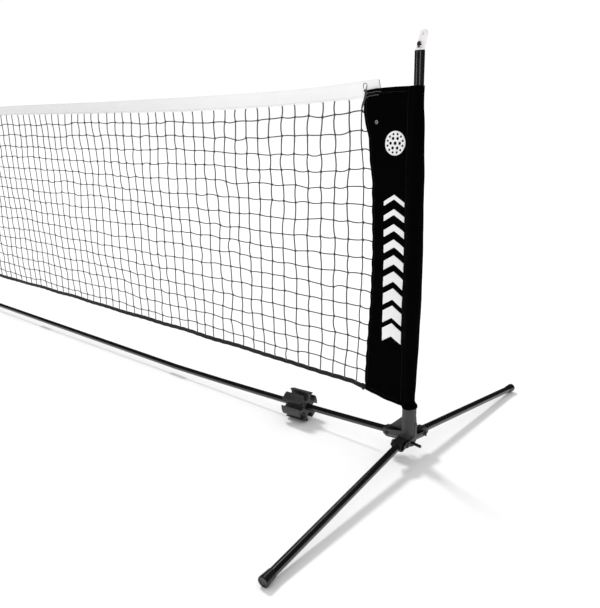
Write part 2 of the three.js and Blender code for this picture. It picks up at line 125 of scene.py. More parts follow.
def round2d(rows, steps=4, radius=None, closed=True):
    """Outline with rounded corners; rows are x, y, corner radius, or x, y with one radius."""
    rows = np.array(rows, float)
    points = rows[:, :2]
    count = len(points)
    radii = rows[:, 2] if radius is None else [radius] * count
    out = []
    for i in range(count):
        corner = points[i]
        if (not closed and i in (0, count - 1)) or radii[i] <= 0:
            out.append(corner)
            continue
        before, after = points[i - 1] - corner, points[(i + 1) % count] - corner
        len_before, len_after = np.linalg.norm(before), np.linalg.norm(after)
        before, after = before / len_before, after / len_after
        half = math.acos(max(-1, min(1, float(before @ after)))) / 2
        if half > math.radians(88):
            out.append(corner)
            continue
        cut = min(radii[i] / math.tan(half), 0.48 * len_before, 0.48 * len_after)
        fillet = cut * math.tan(half)
        bisector = (before + after) / np.linalg.norm(before + after)
        centre = corner + bisector * fillet / math.sin(half)
        start, end = corner + before * cut - centre, corner + after * cut - centre
        angle = math.atan2(start[1], start[0])
        turn = (math.atan2(end[1], end[0]) - angle + math.pi) % math.tau - math.pi
        for k in range(steps + 1):
            a = angle + turn * k / steps
            out.append(centre + fillet * np.array([math.cos(a), math.sin(a)]))
    return np.array(out)


# --------------------------------------------------------------------- meshing
class Geo:
    """One piece: vertices in mm, faces, and a UV pair per face corner."""

    def __init__(self):
        self.chunks, self.faces, self.uvs, self.count = [], [], [], 0

    def add(self, verts, faces, uvs=None, at=None):
        verts = np.asarray(verts, float)
        step = 1
        if at is not None:
            matrix = np.array(at)
            verts = verts @ matrix[:3, :3].T + matrix[:3, 3]
            step = -1 if np.linalg.det(matrix[:3, :3]) < 0 else 1
        if uvs is None:
            uvs = [[(0.0, 0.0)] * len(face) for face in faces]
        self.chunks.append(verts)
        self.faces += [[i + self.count for i in face][::step] for face in faces]
        self.uvs += [corners[::step] for corners in uvs]
        self.count += len(verts)
        return self

    def join(self, other, at=None):
        return self.add(np.concatenate(other.chunks), other.faces, other.uvs, at)

    def placed(self, at):
        return Geo().join(self, at)


def make(name, geo, material, body, replaces=None, sharp=None):
    """Smooth-shaded object from a Geo; sharp is the angle in degrees where edges stay hard."""
    me = bpy.data.meshes.new(name)
    me.from_pydata((np.concatenate(geo.chunks) * MM).tolist(), [], geo.faces)
    layer = me.uv_layers.new(name="UVMap")
    flat = np.array([c for corners in geo.uvs for c in corners], float).reshape(-1)
    layer.data.foreach_set("uv", flat.astype(np.float32))
    me.validate()
    me.update()
    me.shade_smooth()
    if sharp is not None:
        me.set_sharp_from_angle(angle=math.radians(sharp))
    ob = bpy.data.objects.new(name, me)
    bpy.context.scene.collection.objects.link(ob)
    me.materials.append(MATS[material])
    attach(ob, body)
    if replaces:
        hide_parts(replaces)


def sweep(points, radius, sides=8, closed=False, caps=True):
    """Round tube through the points; UV is (turn, length in mm)."""
    points = np.asarray(points, float)
    count = len(points)
    radius = np.broadcast_to(np.asarray(radius, float), (count,))
    if closed:
        tangent = np.roll(points, -1, 0) - np.roll(points, 1, 0)
    else:
        tangent = np.gradient(points, axis=0)
    tangent /= np.linalg.norm(tangent, axis=1)[:, None] + 1e-12
    first = tangent[0]
    up = np.array([0, 0, 1.0]) if abs(first[2]) < 0.9 else np.array([1.0, 0, 0])
    across = np.zeros((count, 3))
    across[0] = np.cross(first, up)
    across[0] /= np.linalg.norm(across[0])
    for i in range(1, count):
        carried = across[i - 1] - tangent[i] * np.dot(across[i - 1], tangent[i])
        across[i] = carried / (np.linalg.norm(carried) + 1e-12)
    if closed:
        # spread the twist left where the ends meet
        last = across[-1] - first * np.dot(across[-1], first)
        last /= np.linalg.norm(last)
        twist = math.atan2(np.dot(np.cross(last, across[0]), first), np.dot(last, across[0]))
        for i in range(count):
            a = twist * i / count
            across[i] = (across[i] * math.cos(a)
                         + np.cross(tangent[i], across[i]) * math.sin(a))
    other = np.cross(tangent, across)
    angle = (np.arange(sides) / sides * math.tau)[None, :, None]
    ring = np.cos(angle) * across[:, None, :] + np.sin(angle) * other[:, None, :]
    verts = (points[:, None, :] + radius[:, None, None] * ring).reshape(-1, 3)
    steps = np.linalg.norm(np.diff(points, axis=0), axis=1)
    length = np.concatenate([[0], np.cumsum(steps)])
    faces, uvs = [], []
    for i in range(count if closed else count - 1):
        i2 = (i + 1) % count
        v0 = length[i]
        v1 = length[i2] if i2 else length[-1] + np.linalg.norm(points[0] - points[-1])
        for j in range(sides):
            k = (j + 1) % sides
            faces.append([i * sides + j, i * sides + k, i2 * sides + k, i2 * sides + j])
            u0, u1 = j / sides, (j + 1) / sides
            uvs.append([(u0, v0), (u1, v0), (u1, v1), (u0, v1)])
    if caps and not closed:
        faces.append(list(range(sides))[::-1])
        faces.append([(count - 1) * sides + j for j in range(sides)])
        uvs += [[(0.0, 0.0)] * sides] * 2
    return Geo().add(verts, faces, uvs)


def lathe(profile, seg=48, at=None, closed=False):
    """Solid of revolution about +Z; the profile runs from axis to axis, or closes on itself."""
    profile = np.asarray(profile, float)
    angles = np.arange(seg) / seg * math.tau
    verts, rings = [], []
    for r, z in profile:
        if r < 1e-6 and not closed:
            rings.append([len(verts)] * seg)
            verts.append((0, 0, z))
        else:
            rings.append(list(range(len(verts), len(verts) + seg)))
            verts += [(r * math.cos(a), r * math.sin(a), z) for a in angles]
    faces, uvs = [], []
    rows = len(profile)
    length = np.concatenate([[0], np.cumsum(np.linalg.norm(np.diff(profile, axis=0), axis=1))])
    for i in range(rows if closed else rows - 1):
        low, high = rings[i], rings[(i + 1) % rows]
        v0, v1 = length[i], length[min(i + 1, rows - 1)]
        for j in range(seg):
            k = (j + 1) % seg
            u0, u1 = j / seg, (j + 1) / seg
            face = [low[j], low[k], high[k], high[j]]
            corners = [(u0, v0), (u1, v0), (u1, v1), (u0, v1)]
            keep = [q for q in range(4) if face[q] not in face[:q]]
            if len(keep) > 2:
                faces.append([face[q] for q in keep])
                uvs.append([corners[q] for q in keep])
    # turn the faces outward if the signed volume is negative
    place = np.array(verts)
    volume = 0.0
    for face in faces:
        for k in range(1, len(face) - 1):
            fan = np.cross(place[face[k]], place[face[k + 1]])
            volume += float(np.dot(place[face[0]], fan))
    if volume < 0:
        faces = [face[::-1] for face in faces]
        uvs = [corners[::-1] for corners in uvs]
    return Geo().add(verts, faces, uvs, at)


def turned(rows, steps, seg, at=None):
    """Solid from rows of radius, z, corner radius, running from axis to axis."""
    return lathe(round2d(rows, steps, closed=False), seg, at)


def rod(radius, z0, z1, at=None, seg=48, ease=0.0):
    rows = [(0, z0, 0), (radius, z0, ease), (radius, z1, ease), (0, z1, 0)]
    return turned(rows, 4, seg, at)


def ring_tube(outer, inner, z0, z1, at, seg, lip, rows):
    """Hollow pipe with eased ends; rows is the number of bands along its outside."""
    between = [(outer, z, 0) for z in np.linspace(z0, z1, rows + 1)[1:-1]]
    profile = [(inner, z0, lip), (outer, z0, lip), *between, (outer, z1, lip), (inner, z1, lip)]
    return lathe(round2d(profile, 3), seg, at, closed=True)


def prism(outline, z0, z1, at=None):
    """Closed plate: outline in local x, y, from z0 to z1."""
    outline = np.asarray(outline, float)
    x, y = outline[:, 0], outline[:, 1]
    if 0.5 * float(np.sum(x * np.roll(y, -1) - np.roll(x, -1) * y)) < 0:
        outline = outline[::-1]
    n = len(outline)
    verts = [(x, y, z0) for x, y in outline] + [(x, y, z1) for x, y in outline]
    faces = [list(range(n))[::-1], [n + i for i in range(n)]]
    faces += [[i, (i + 1) % n, n + (i + 1) % n, n + i] for i in range(n)]
    return Geo().add(verts, faces, None, at)


def temp(geo):
    me = bpy.data.meshes.new("tmp")
    me.from_pydata(np.concatenate(geo.chunks).tolist(), [], geo.faces)
    me.validate()
    ob = bpy.data.objects.new("tmp", me)
    bpy.context.scene.collection.objects.link(ob)
    return ob


def baked(ob):
    depsgraph = bpy.context.evaluated_depsgraph_get()
    depsgraph.update()
    return bpy.data.meshes.new_from_object(ob.evaluated_get(depsgraph), depsgraph=depsgraph)


def moulded(unions, cuts, voxel, smooth, keep=1.0):
    """Plastic moulding: joins and cuts solids, remeshes finely and eases every edge."""
    base = temp(unions[0])
    extra = []
    for operation, solids in (("UNION", unions[1:]), ("DIFFERENCE", cuts)):
        for geo in solids:
            other = temp(geo)
            extra.append(other)
            boolean = base.modifiers.new("b", "BOOLEAN")
            boolean.operation = operation
            boolean.solver = "MANIFOLD"
            boolean.object = other
    remesh = base.modifiers.new("r", "REMESH")
    remesh.mode = "VOXEL"
    remesh.voxel_size = voxel
    remesh.adaptivity = 0.0
    easing = base.modifiers.new("s", "SMOOTH")
    easing.factor = 0.5
    easing.iterations = smooth
    if keep < 1:
        base.modifiers.new("d", "DECIMATE").ratio = keep
    me = baked(base)
    verts = np.zeros(len(me.vertices) * 3)
    me.vertices.foreach_get("co", verts)
    faces = [list(p.vertices) for p in me.polygons]
    for ob in extra + [base]:
        bpy.data.objects.remove(ob)
    bpy.data.meshes.remove(me)
    return Geo().add(verts.reshape(-1, 3), faces)


def basis(x, y, z, origin):
    matrix = Matrix.Identity(4)
    for i in range(3):
        matrix[i][0], matrix[i][1], matrix[i][2], matrix[i][3] = x[i], y[i], z[i], origin[i]
    return matrix


# ------------------------------------------------------------------- materials
MID = (0.3, 0.7)        # the part of a noise's range that holds most of its values


class Nodes:
    """Short calls for building the node tree of a material or world."""

    def __init__(self, owner, shader="Principled BSDF"):
        owner.use_nodes = True
        self.owner = owner
        self.tree = owner.node_tree
        self.shader = self.tree.nodes[shader]

    def put(self, node, inputs):
        """Sets or links inputs, keyed by number or by name with _ for a space."""
        for key, value in inputs.items():
            socket = node.inputs[key.replace("_", " ") if isinstance(key, str) else key]
            if isinstance(value, bpy.types.NodeSocket):
                self.tree.links.new(value, socket)
            else:
                socket.default_value = value

    def node(self, kind, **inputs):
        node = self.tree.nodes.new(kind)
        self.put(node, inputs)
        return node

    def out(self, **inputs):
        self.put(self.shader, inputs)
        return self.owner

    def math(self, operation, a, b=0.0):
        node = self.node("ShaderNodeMath")
        node.operation = operation
        self.put(node, {0: a, 1: b})
        return node.outputs[0]

    def times(self, a, b):
        return self.math("MULTIPLY", a, b)

    def plus(self, a, b):
        return self.math("ADD", a, b)

    def noise(self, vector, scale, detail=3.0, roughness=0.55, distortion=0.0):
        return self.node("ShaderNodeTexNoise", Vector=vector, Scale=scale, Detail=detail,
                         Roughness=roughness, Distortion=distortion).outputs["Fac"]

    def remap(self, value, span=MID, to=(0, 1)):
        node = self.node("ShaderNodeMapRange")
        self.put(node, dict(enumerate((value, *span, *to))))
        return node.outputs[0]

    def mix(self, share, base, over):
        node = self.node("ShaderNodeMix")
        node.data_type = "RGBA"
        self.put(node, {0: share, 6: base, 7: over})
        return node.outputs[2]

    def bump(self, height, strength, distance, normal=None):
        node = self.node("ShaderNodeBump", Height=height, Strength=strength, Distance=distance)
        if normal is not None:
            self.put(node, {"Normal": normal})
        return node.outputs[0]

    def coord(self, which="Object"):
        return self.node("ShaderNodeTexCoord").outputs[which]

    def pointiness(self):
        return self.node("ShaderNodeNewGeometry").outputs["Pointiness"]

    def xyz(self, vector):
        return self.node("ShaderNodeSeparateXYZ", Vector=vector).outputs[:3]

    def scaled(self, vector, scale):
        return self.node("ShaderNodeMapping", Vector=vector, Scale=scale).outputs[0]


def new_material(name):
    return Nodes(bpy.data.materials.new(name))


def grey(value, tint=(1, 1, 1)):
    return (value * tint[0], value * tint[1], value * tint[2], 1.0)


def powder_coat():
    k = new_material("powder_coat_black")
    c = k.coord()
    wide = k.noise(c, scale=9.0, detail=4.0)
    peel = k.noise(c, scale=900.0, detail=2.0, roughness=0.5)
    scuff = k.noise(k.scaled(c, (14, 14, 14)), scale=24.0, detail=6.0, roughness=0.7,
                    distortion=1.5)
    scuff = k.remap(scuff, span=(0.62, 0.72))
    colour = k.mix(k.remap(wide), grey(0.0035), grey(0.006, tint=(1, 1, 1.06)))
    colour = k.mix(k.times(scuff, 0.3), colour, grey(0.022))
    worn_edge = k.remap(k.pointiness(), span=(0.56, 0.68), to=(0, 0.7))
    colour = k.mix(worn_edge, colour, grey(0.10))
    rough = k.plus(k.remap(wide, to=(0.2, 0.29)), k.times(scuff, 0.18))
    return k.out(Base_Color=colour, Roughness=rough, Specular_IOR_Level=0.62, Coat_Weight=0.35,
                 Coat_Roughness=0.12, Normal=k.bump(peel, strength=0.10, distance=0.0003))


def moulding(name, dark, light, rough, rim_highlight_gain=0.5):
    """Moulded nylon, with a painted highlight on its outer edges and painted shade in its corners.
    """
    k = new_material(name)
    c = k.coord()
    wide = k.noise(c, scale=30.0, detail=4.0)
    fine = k.noise(c, scale=1400.0, detail=2.0, roughness=0.6)
    flow = k.noise(k.scaled(c, (1, 1, 5)), scale=60.0, roughness=0.6, distortion=1.0)
    colour = k.mix(k.remap(wide), grey(dark), grey(light, tint=(0.98, 1, 1.03)))
    colour = k.mix(k.remap(flow, span=(0.55, 0.8), to=(0, 0.25)), colour, grey(light * 1.35))
    point = k.pointiness()
    # painted highlight on the outer edges and rims
    painted_rim_highlight = k.remap(point, span=(0.51, 0.60), to=(0, rim_highlight_gain))
    colour = k.mix(painted_rim_highlight, colour, grey(light * 3.2))
    # painted shade in the inner corners
    painted_corner_shade = k.remap(point, span=(0.49, 0.40), to=(0, 0.7))
    colour = k.mix(painted_corner_shade, colour, grey(dark * 0.35))
    rough = k.plus(k.remap(fine, to=(rough - 0.06, rough + 0.06)),
                   k.remap(wide, to=(-0.05, 0.05)))
    flow_bump = k.bump(flow, strength=0.08, distance=0.0006)
    return k.out(Base_Color=colour, Roughness=rough, Specular_IOR_Level=0.45,
                 Normal=k.bump(fine, strength=0.28, distance=0.0002, normal=flow_bump))


def steel(name="blackened_steel", dark=0.018, light=0.05, metal=0.85):
    k = new_material(name)
    lines = k.noise(k.scaled(k.coord(), (60, 900, 900)), scale=4.0)
    colour = k.mix(k.remap(lines), grey(dark), grey(light))
    worn_edge = k.remap(k.pointiness(), span=(0.52, 0.62), to=(0, 0.8))
    colour = k.mix(worn_edge, colour, grey(0.32))
    return k.out(Base_Color=colour, Metallic=metal, Roughness=k.remap(lines, to=(0.28, 0.45)),
                 Normal=k.bump(lines, strength=0.08, distance=0.0002))


def white_plastic():
    k = new_material("white_moulded_cap")
    c = k.coord()
    wide = k.noise(c, scale=60.0)
    fine = k.noise(c, scale=1600.0, detail=2.0)
    colour = k.mix(k.remap(wide), grey(0.80, tint=(1, 1, 0.99)), grey(0.87))
    # painted shade in the cap's corners and recesses
    corner = k.remap(k.pointiness(), span=(0.48, 0.40), to=(0, 0.5))
    colour = k.mix(corner, colour, grey(0.5))
    return k.out(Base_Color=colour, Roughness=k.remap(fine, to=(0.3, 0.42)),
                 Subsurface_Weight=0.08, Normal=k.bump(fine, strength=0.12, distance=0.0002))


def weave(k, c, pitch_mm, z_ratio=1.0):
    """Plain weave height over the object's x and z."""
    x, _, z = k.xyz(c)
    turns = math.tau / (pitch_mm * MM)
    over = k.times(k.math("SINE", k.times(x, turns)),
                   k.math("SINE", k.times(z, turns * z_ratio)))
    ribs = [k.math("ABSOLUTE", k.math("SINE", k.times(axis, rate)))
            for axis, rate in ((x, turns / 2), (z, turns * z_ratio / 2))]
    ribs = k.math("MAXIMUM", *ribs)
    return k.plus(k.times(over, 0.35), ribs)


def sleeve_cloth():
    k = new_material("black_oxford_cloth")
    c = k.coord()
    threads = weave(k, c, pitch_mm=0.9)
    slub = k.noise(k.scaled(c, (1, 1, 9)), scale=260.0)
    wide = k.noise(c, scale=7.0, detail=4.0)
    colour = k.mix(k.remap(threads, span=(0.4, 1.3)), grey(0.0002), grey(0.0009))
    colour = k.mix(k.remap(slub, span=(0.5, 0.75), to=(0, 0.4)), colour, grey(0.0014))
    colour = k.mix(k.remap(wide, span=(0.5, 0.8), to=(0, 0.4)), colour,
                   grey(0.0012, tint=(1, 1, 1.05)))
    slub_bump = k.bump(slub, strength=0.15, distance=0.0004)
    normal = k.bump(threads, strength=0.32, distance=0.00025, normal=slub_bump)
    return k.out(Base_Color=colour, Roughness=k.remap(slub, to=(0.78, 0.95)),
                 Specular_IOR_Level=0.03, Sheen_Weight=0.003, Sheen_Roughness=0.45,
                 Sheen_Tint=(0.7, 0.72, 0.78, 1), Normal=normal)


def headband_cloth():
    k = new_material("white_coated_tape")
    c = k.coord()
    threads = weave(k, c, pitch_mm=1.1, z_ratio=1.15)
    wide = k.noise(k.scaled(c, (1, 1, 3)), scale=10.0, detail=4.0)
    x, _, z = k.xyz(c)
    # painted shade, darker on the lower part of the tape
    painted_lower_shade = k.remap(z, span=(0.876, 0.905), to=(1.0, 0.0))
    colour = k.mix(k.remap(wide), grey(0.92, tint=(1, 1, 0.995)), grey(0.96))
    # painted shade: darker towards the middle of the span
    middle = k.remap(k.times(x, x), span=(0.05, 1.6), to=(0.30, 0.0))
    colour = k.mix(middle, colour, grey(0.45))
    gaps = k.times(k.remap(threads, span=(0.6, 1.3), to=(0.5, 0)), 0.2)
    colour = k.mix(gaps, colour, grey(0.55))
    colour = k.mix(k.times(painted_lower_shade, 0.10), colour, grey(0.6, tint=(1, 1, 1.02)))
    wide_bump = k.bump(wide, strength=0.25, distance=0.002)
    return k.out(Base_Color=colour, Roughness=0.62, Specular_IOR_Level=0.35, Sheen_Weight=0.1,
                 Normal=k.bump(threads, strength=0.22, distance=0.0002, normal=wide_bump))


def edging():
    k = new_material("black_binding_tape")
    c = k.coord()
    x, _, z = k.xyz(c)
    slanted = k.plus(x, k.times(z, 0.8))
    rib_pitch = 1.2 * MM
    rib = k.math("SINE", k.times(slanted, math.tau / rib_pitch))
    fuzz = k.noise(c, scale=900.0)
    colour = k.mix(k.remap(rib, span=(-1, 1)), grey(0.006), grey(0.018))
    colour = k.mix(k.remap(fuzz, span=(0.5, 0.8), to=(0, 0.5)), colour, grey(0.035))
    fuzz_bump = k.bump(fuzz, strength=0.2, distance=0.0003)
    return k.out(Base_Color=colour, Roughness=0.85, Specular_IOR_Level=0.2, Sheen_Weight=0.1,
                 Sheen_Roughness=0.5,
                 Normal=k.bump(rib, strength=0.3, distance=0.0003, normal=fuzz_bump))


def cord(name, dark, light, around, per_mm):
    """Twisted or braided cord; UV is (turn, length in mm)."""
    k = new_material(name)
    u, v, _ = k.xyz(k.coord("UV"))
    strands = []
    for lay in ("ADD", "SUBTRACT"):
        phase = k.math(lay, k.times(u, around), k.times(v, per_mm))
        strands.append(k.math("SINE", k.times(phase, math.tau)))
    height = k.math("MAXIMUM", *strands)
    c = k.coord()
    fuzz = k.noise(c, scale=1500.0)
    wide = k.noise(c, scale=22.0)
    colour = k.mix(k.remap(height, span=(-0.4, 1)), grey(dark * 0.5),
                   grey(light, tint=(0.98, 1, 1.04)))
    colour = k.mix(k.remap(wide, span=(0.35, 0.7), to=(0, 0.55)), colour,
                   grey((dark + light) * 0.5))
    fuzz_bump = k.bump(fuzz, strength=0.2, distance=0.0002)
    return k.out(Base_Color=colour, Roughness=k.remap(fuzz, to=(0.55, 0.85)),
                 Specular_IOR_Level=0.3, Sheen_Weight=0.15,
                 Normal=k.bump(height, strength=0.5, distance=0.0003, normal=fuzz_bump))


def screen_print():
    k = new_material("white_screen_print")
    c = k.coord()
    threads = weave(k, c, pitch_mm=0.9)
    crackle = k.noise(c, scale=420.0, detail=5.0, roughness=0.7)
    thin = k.remap(crackle, span=(0.30, 0.40), to=(0.25, 0.0))
    gaps = k.times(k.remap(threads, span=(0.3, 1.2), to=(0.6, 0)), 0.22)
    colour = k.mix(thin, k.mix(gaps, grey(0.9), grey(0.6)), grey(0.35))
    return k.out(Base_Color=colour, Roughness=0.55, Specular_IOR_Level=0.4,
                 Normal=k.bump(threads, strength=0.3, distance=0.00025))


MATS = {
    "tube": powder_coat(),
    "moulding": moulding("charcoal_nylon", dark=0.033, light=0.056, rough=0.5),
    "hub": moulding("charcoal_nylon_hub", dark=0.024, light=0.042, rough=0.5),
    "fitting": moulding("black_nylon", dark=0.007, light=0.013, rough=0.46, rim_highlight_gain=0.3),
    "foot": moulding("boot_nylon", dark=0.005, light=0.010, rough=0.28, rim_highlight_gain=0.3),
    "steel": steel(),
    "grommet": steel("worn_grommet", dark=0.22, light=0.36, metal=0.5),
    "cap": white_plastic(),
    "sleeve": sleeve_cloth(),
    "headband": headband_cloth(),
    "edging": edging(),
}
CORDS = (   # key, material name, dark and light grey, strands around, turns per mm
    ("net", "net_cord", 0.035, 0.10, 3.0, 0.55),
    ("net_up", "net_upright_cord", 0.06, 0.15, 3.0, 0.55),
    ("tie", "grey_tie", 0.06, 0.14, 3.0, 0.6),
    ("cord", "black_cord", 0.008, 0.024, 4.0, 0.5),
    ("thread", "black_thread", 0.012, 0.03, 2.0, 1.2),
    ("pale", "grey_thread", 0.10, 0.2, 2.0, 1.2),
    ("white_thread", "white_thread", 0.6, 0.85, 2.0, 1.2),
)
for key, *settings in CORDS:
    MATS[key] = cord(*settings)
MATS["print"] = screen_print()

# -------------------------------------------- member frames, about the post of end R
LEAN_M = (Matrix.Translation((0, 0, LEAN_Z)) @ Matrix.Rotation(-POST_LEAN, 4, "Y")
          @ Matrix.Translation((0, 0, -LEAN_Z)))


def member_axes(along, across, up, origin, pin):
    """Local axes: plates lie in the along-up plane, pins run across, tubes run along z."""
    return {"plate": basis(along, up, -across, origin), "pin": basis(up, along, across, pin),
            "run": basis(across, up, along, origin)}


def leg_frame(d):
    slope = math.asin((LEG_AXIS_Z - 12.75) / (LEG_END[d] + 10))
    along = Vector((math.sin(LEG_SPLAY) * math.cos(slope),
                    d * math.cos(LEG_SPLAY) * math.cos(slope), -math.sin(slope)))
    across = Vector((-d * math.cos(LEG_SPLAY), math.sin(LEG_SPLAY), 0))
    origin = Vector((0, 0, LEG_AXIS_Z))
    return member_axes(along, across, along.cross(across).normalized(), origin,
                       origin + along * LEG_PIN_U)


def bar_frame():
    pin_x = POST_X - BAR_PIN_U
    slope = math.atan(BAR_SLOPE + 2 * BAR_CURVE * (pin_x - BAR_BEND_X))
    along = Vector((-math.cos(slope), 0, -math.sin(slope)))
    up = Vector((-math.sin(slope), 0, math.cos(slope)))
    pin = Vector((-BAR_PIN_U, 0, float(bar_z(pin_x))))
    return member_axes(along, up.cross(along).normalized(), up, pin - along * BAR_PIN_U, pin)


LEGS = {d: leg_frame(d) for d in (-1, 1)}
BAR = bar_frame()

# ----------------------------------------------------------- joint and knuckles
JOINT_TOP = 146.5
JOINT_BODY = [      # radius, z, corner radius
    (0, 38, 0), (16.6, 38, 1.2), (16.6, 44, 3), (19.6, 50, 5), (19.6, 104, 10),
    (18.1, 118, 10), (18.1, JOINT_TOP, 1.4), (0, JOINT_TOP, 0)]
# trough section: across, up, corner radius
TROUGH = mirrored([(-20.0, 4.6, 0), (-19.7, -2, 6), (-12.0, -14.8, 5), (-5.5, -17.2, 6)])
# side plates: along, up, corner radius
BAR_RIM = [(2, -2, 0), (65, -2, 1), (66, 6.5, 2), (64, 8.4, 2), (24, 13.4, 8), (2, 15.5, 0)]
LEG_RIM = [(-1, -2, 0), (60, -2, 1), (62, 3.4, 1.5), (60, 5.2, 2), (15, 5.0, 8), (6.2, 8, 6),
           (4.2, 18, 10), (3.2, 40, 1.5), (-1, 40, 0)]
GUSSET = [(8, 13.8), (47.5, 13.8), (50.5, 19.5), (19.5, 46.5), (8, 46.5)]   # along, up


def channel_parts(axes, end, rim):
    """Trough along a bar or leg, with raised side plates and pin bosses."""
    parts = [prism(round2d(TROUGH), 2, end, axes["run"])]
    for low, high in ((16.9, 20.4), (-20.4, -16.9)):
        parts.append(prism(round2d(rim), low, high, axes["plate"]))
        parts.append(rod(7.2, low, high, axes["pin"], 40))
    return parts


def channel_cuts(axes, end, top):
    """The trough's hollow, its pin hole and the slanted cut under its end."""
    hollow = mirrored([(-17.0, top, 0), (-17.0, -1.6, 5), (-10.2, -12.5, 4), (-4.8, -14.5, 5)])
    under = [(end - 7, -24), (end + 6, -24), (end + 6, -3), (end + 0.5, -3)]
    return [prism(round2d(hollow), 20.8, end + 12, axes["run"]),
            rod(4.3, -30, 30, axes["pin"], 32), prism(under, -30, 30, axes["plate"])]


def end_joint():
    """The moulded joint that holds the post, the bar and both legs."""
    solids = [turned(JOINT_BODY, 4, 72, LEAN_M)]
    cuts = [rod(11.65, 63.2, 152, LEAN_M, 64)]
    # axes, trough length, side plate, top of the hollow
    for axes, end, rim, top in ((BAR, 66.0, BAR_RIM, 13.6), (LEGS[-1], 62.0, LEG_RIM, 18),
                                (LEGS[1], 62.0, LEG_RIM, 18)):
        solids += channel_parts(axes, end, rim)
        cuts += channel_cuts(axes, end, top)
    solids.append(prism(GUSSET, -3.6, 3.6, BAR["plate"]))
    collar = round2d(rect(15, 141, 18.7, JOINT_TOP), 3, radius=1.2)
    solids.append(lathe(collar, 72, LEAN_M, closed=True))
    return moulded(solids, cuts, voxel=0.85, smooth=4, keep=0.6)


def knuckle(axes, pin_u, tube_u, spigot_r, eye_r, bore_r):
    """Eye round the pin, a neck with a pocket in each flank, and a spigot into the tube."""
    half = 11
    neck = [(pin_u, -10.4, 0), (tube_u - 3, -10.4, 2), (tube_u, -8, 1), (tube_u, 8, 1),
            (tube_u - 3, 10.4, 2), (pin_u, 10.4, 0)]
    solids = [rod(eye_r, -half, half, axes["pin"], 64, ease=2.4),
              prism(round2d(neck, 3), -half, half, axes["plate"]),
              rod(10.9, tube_u - 8, tube_u, axes["run"], 48, ease=0.8),
              rod(spigot_r, tube_u - 1, tube_u + 20, axes["run"], 48)]
    pocket = round2d(rect(pin_u + 12.5, -6, tube_u - 7, 6), 3, radius=2)
    cuts = [rod(bore_r, -14, 14, axes["pin"], 32), prism(pocket, 9.8, 14, axes["plate"]),
            prism(pocket, -14, -9.8, axes["plate"])]
    return moulded(solids, cuts, voxel=0.6, smooth=4, keep=0.5)


JOINT = end_joint()
LEG_KNUCKLE = {d: knuckle(LEGS[d], LEG_PIN_U, tube_u=67.0, spigot_r=8.0, eye_r=11.1, bore_r=6.0)
               for d in (-1, 1)}
BAR_KNUCKLE = knuckle(BAR, BAR_PIN_U, tube_u=71.6, spigot_r=7.3, eye_r=12.9, bore_r=4.35)

# ------------------------------------------------------------------ post end cap
CAP_TIP = Matrix.Translation((0.6, 0, 975.5)) @ Matrix.Rotation(math.radians(15), 4, "Y")
CAP_HOLE_Z = 10     # height in the blade of the hole that the cord passes through


def post_cap():
    """Collar and plug, with an upright round-topped blade tilted over the collar."""
    upright = basis((1, 0, 0), (0, 0, 1), (0, -1, 0), (0, 0, 0))
    at = LEAN_M @ CAP_TIP @ upright
    top = [(8.4 * math.cos(a), 31.5 + 8.4 * math.sin(a)) for a in np.linspace(0, math.pi, 24)]
    blade = prism([(-9.6, -4), (9.2, -4)] + top, -3.5, 3.5, at)
    # trim the blade to stand on the collar
    below = prism(rect(-40, -40, 40, 40), 900, 974.5, LEAN_M)
    slot = prism(oval(-0.6, CAP_HOLE_Z, 3.1, 5.2, 32), -9, 9, at)
    eye = prism(oval(0.4, 31, 2.1, 2.1, 24), -9, 9, at)
    recess = round2d([(3.8, 4), (6.6, 4), (5.4, 26), (3.4, 26)], 3, radius=1)
    recess = prism(recess, 2.6, 9, at)
    blade = moulded([blade], [below], voxel=0.5, smooth=0)
    collar = turned([(0, 974.4, 0), (11, 974.4, 0.7), (11, 977.6, 1.1), (0, 977.6, 0)],
                    4, 56, LEAN_M)
    plug = turned([(0, 950, 0), (9.3, 950, 1), (9.4, 953, 0), (9.4, 975, 0), (0, 975, 0)],
                  3, 48, LEAN_M)
    foot = prism(round2d(rect(-9.6, -3.4, 9.6, 3.4), 3, radius=1.5), 976, 980, LEAN_M)
    return moulded([collar, plug, blade, foot], [slot, eye, recess], voxel=0.42, smooth=4,
                   keep=0.6)


def trefoil(size, radius, at):
    """Cord knot; its loops lie in the local xy plane."""
    t = np.arange(90) / 90 * math.tau
    path = np.stack([np.sin(t) + 2 * np.sin(2 * t), np.cos(t) - 2 * np.cos(2 * t),
                     -np.sin(3 * t) * 1.12], 1)
    return sweep(path * (size / 3.0), radius, 10, closed=True).placed(at)


CAP = post_cap()
STAND = Matrix.Rotation(math.pi / 2, 4, "X")    # local xy to the xz plane


# ------------------------------------------------------------- posts and legs
# lathe rows: radius, z, corner radius
BAR_PIN = [(0, -22.9, 0), (6.4, -22.9, 1.2), (6.4, -20.7, 0.5), (3.9, -20.7, 0.4),
           (3.9, 22.9, 1.0), (0, 22.9, 0)]
LEG_PIN = [(0, -24.4, 0), (3.9, -24.4, 1.4), (3.9, 20.7, 0.3), (5.8, 20.7, 0.4),
           (5.8, 22.8, 0.9), (0, 22.8, 0)]
PIN_NUB = [(0, -25.2, 0), (1.7, -25.2, 0.8), (1.7, -22.0, 0.3), (0, -22.0, 0)]
BOOT = [    # z counted from the leg's end
    (0, 2, 0), (10.0, 2, 0.3), (10.0, -18, 0.2), (10.7, -18, 0.4), (11.0, -14, 3),
    (11.9, -2, 6), (12.6, 5, 3), (12.7, 9.5, 0.5), (11.9, 11.5, 0.9), (9.4, 11.5, 0.4),
    (8.6, 10.3, 0.5), (0, 10.3, 0)]
PIN_HANDLE = np.array([     # x, y, z in the pin's frame, radius
    (-0.4, -21.4, 4, 4.0), (-1.0, -21.1, 12, 4.0), (-1.4, -20.7, 20, 4.0),
    (-2.8, -19.3, 34, 4.0), (-4.0, -18.2, 46.4, 4.0), (-4.1, -18.1, 47.6, 3.5),
    (-4.15, -18.05, 48.2, 2.6)])


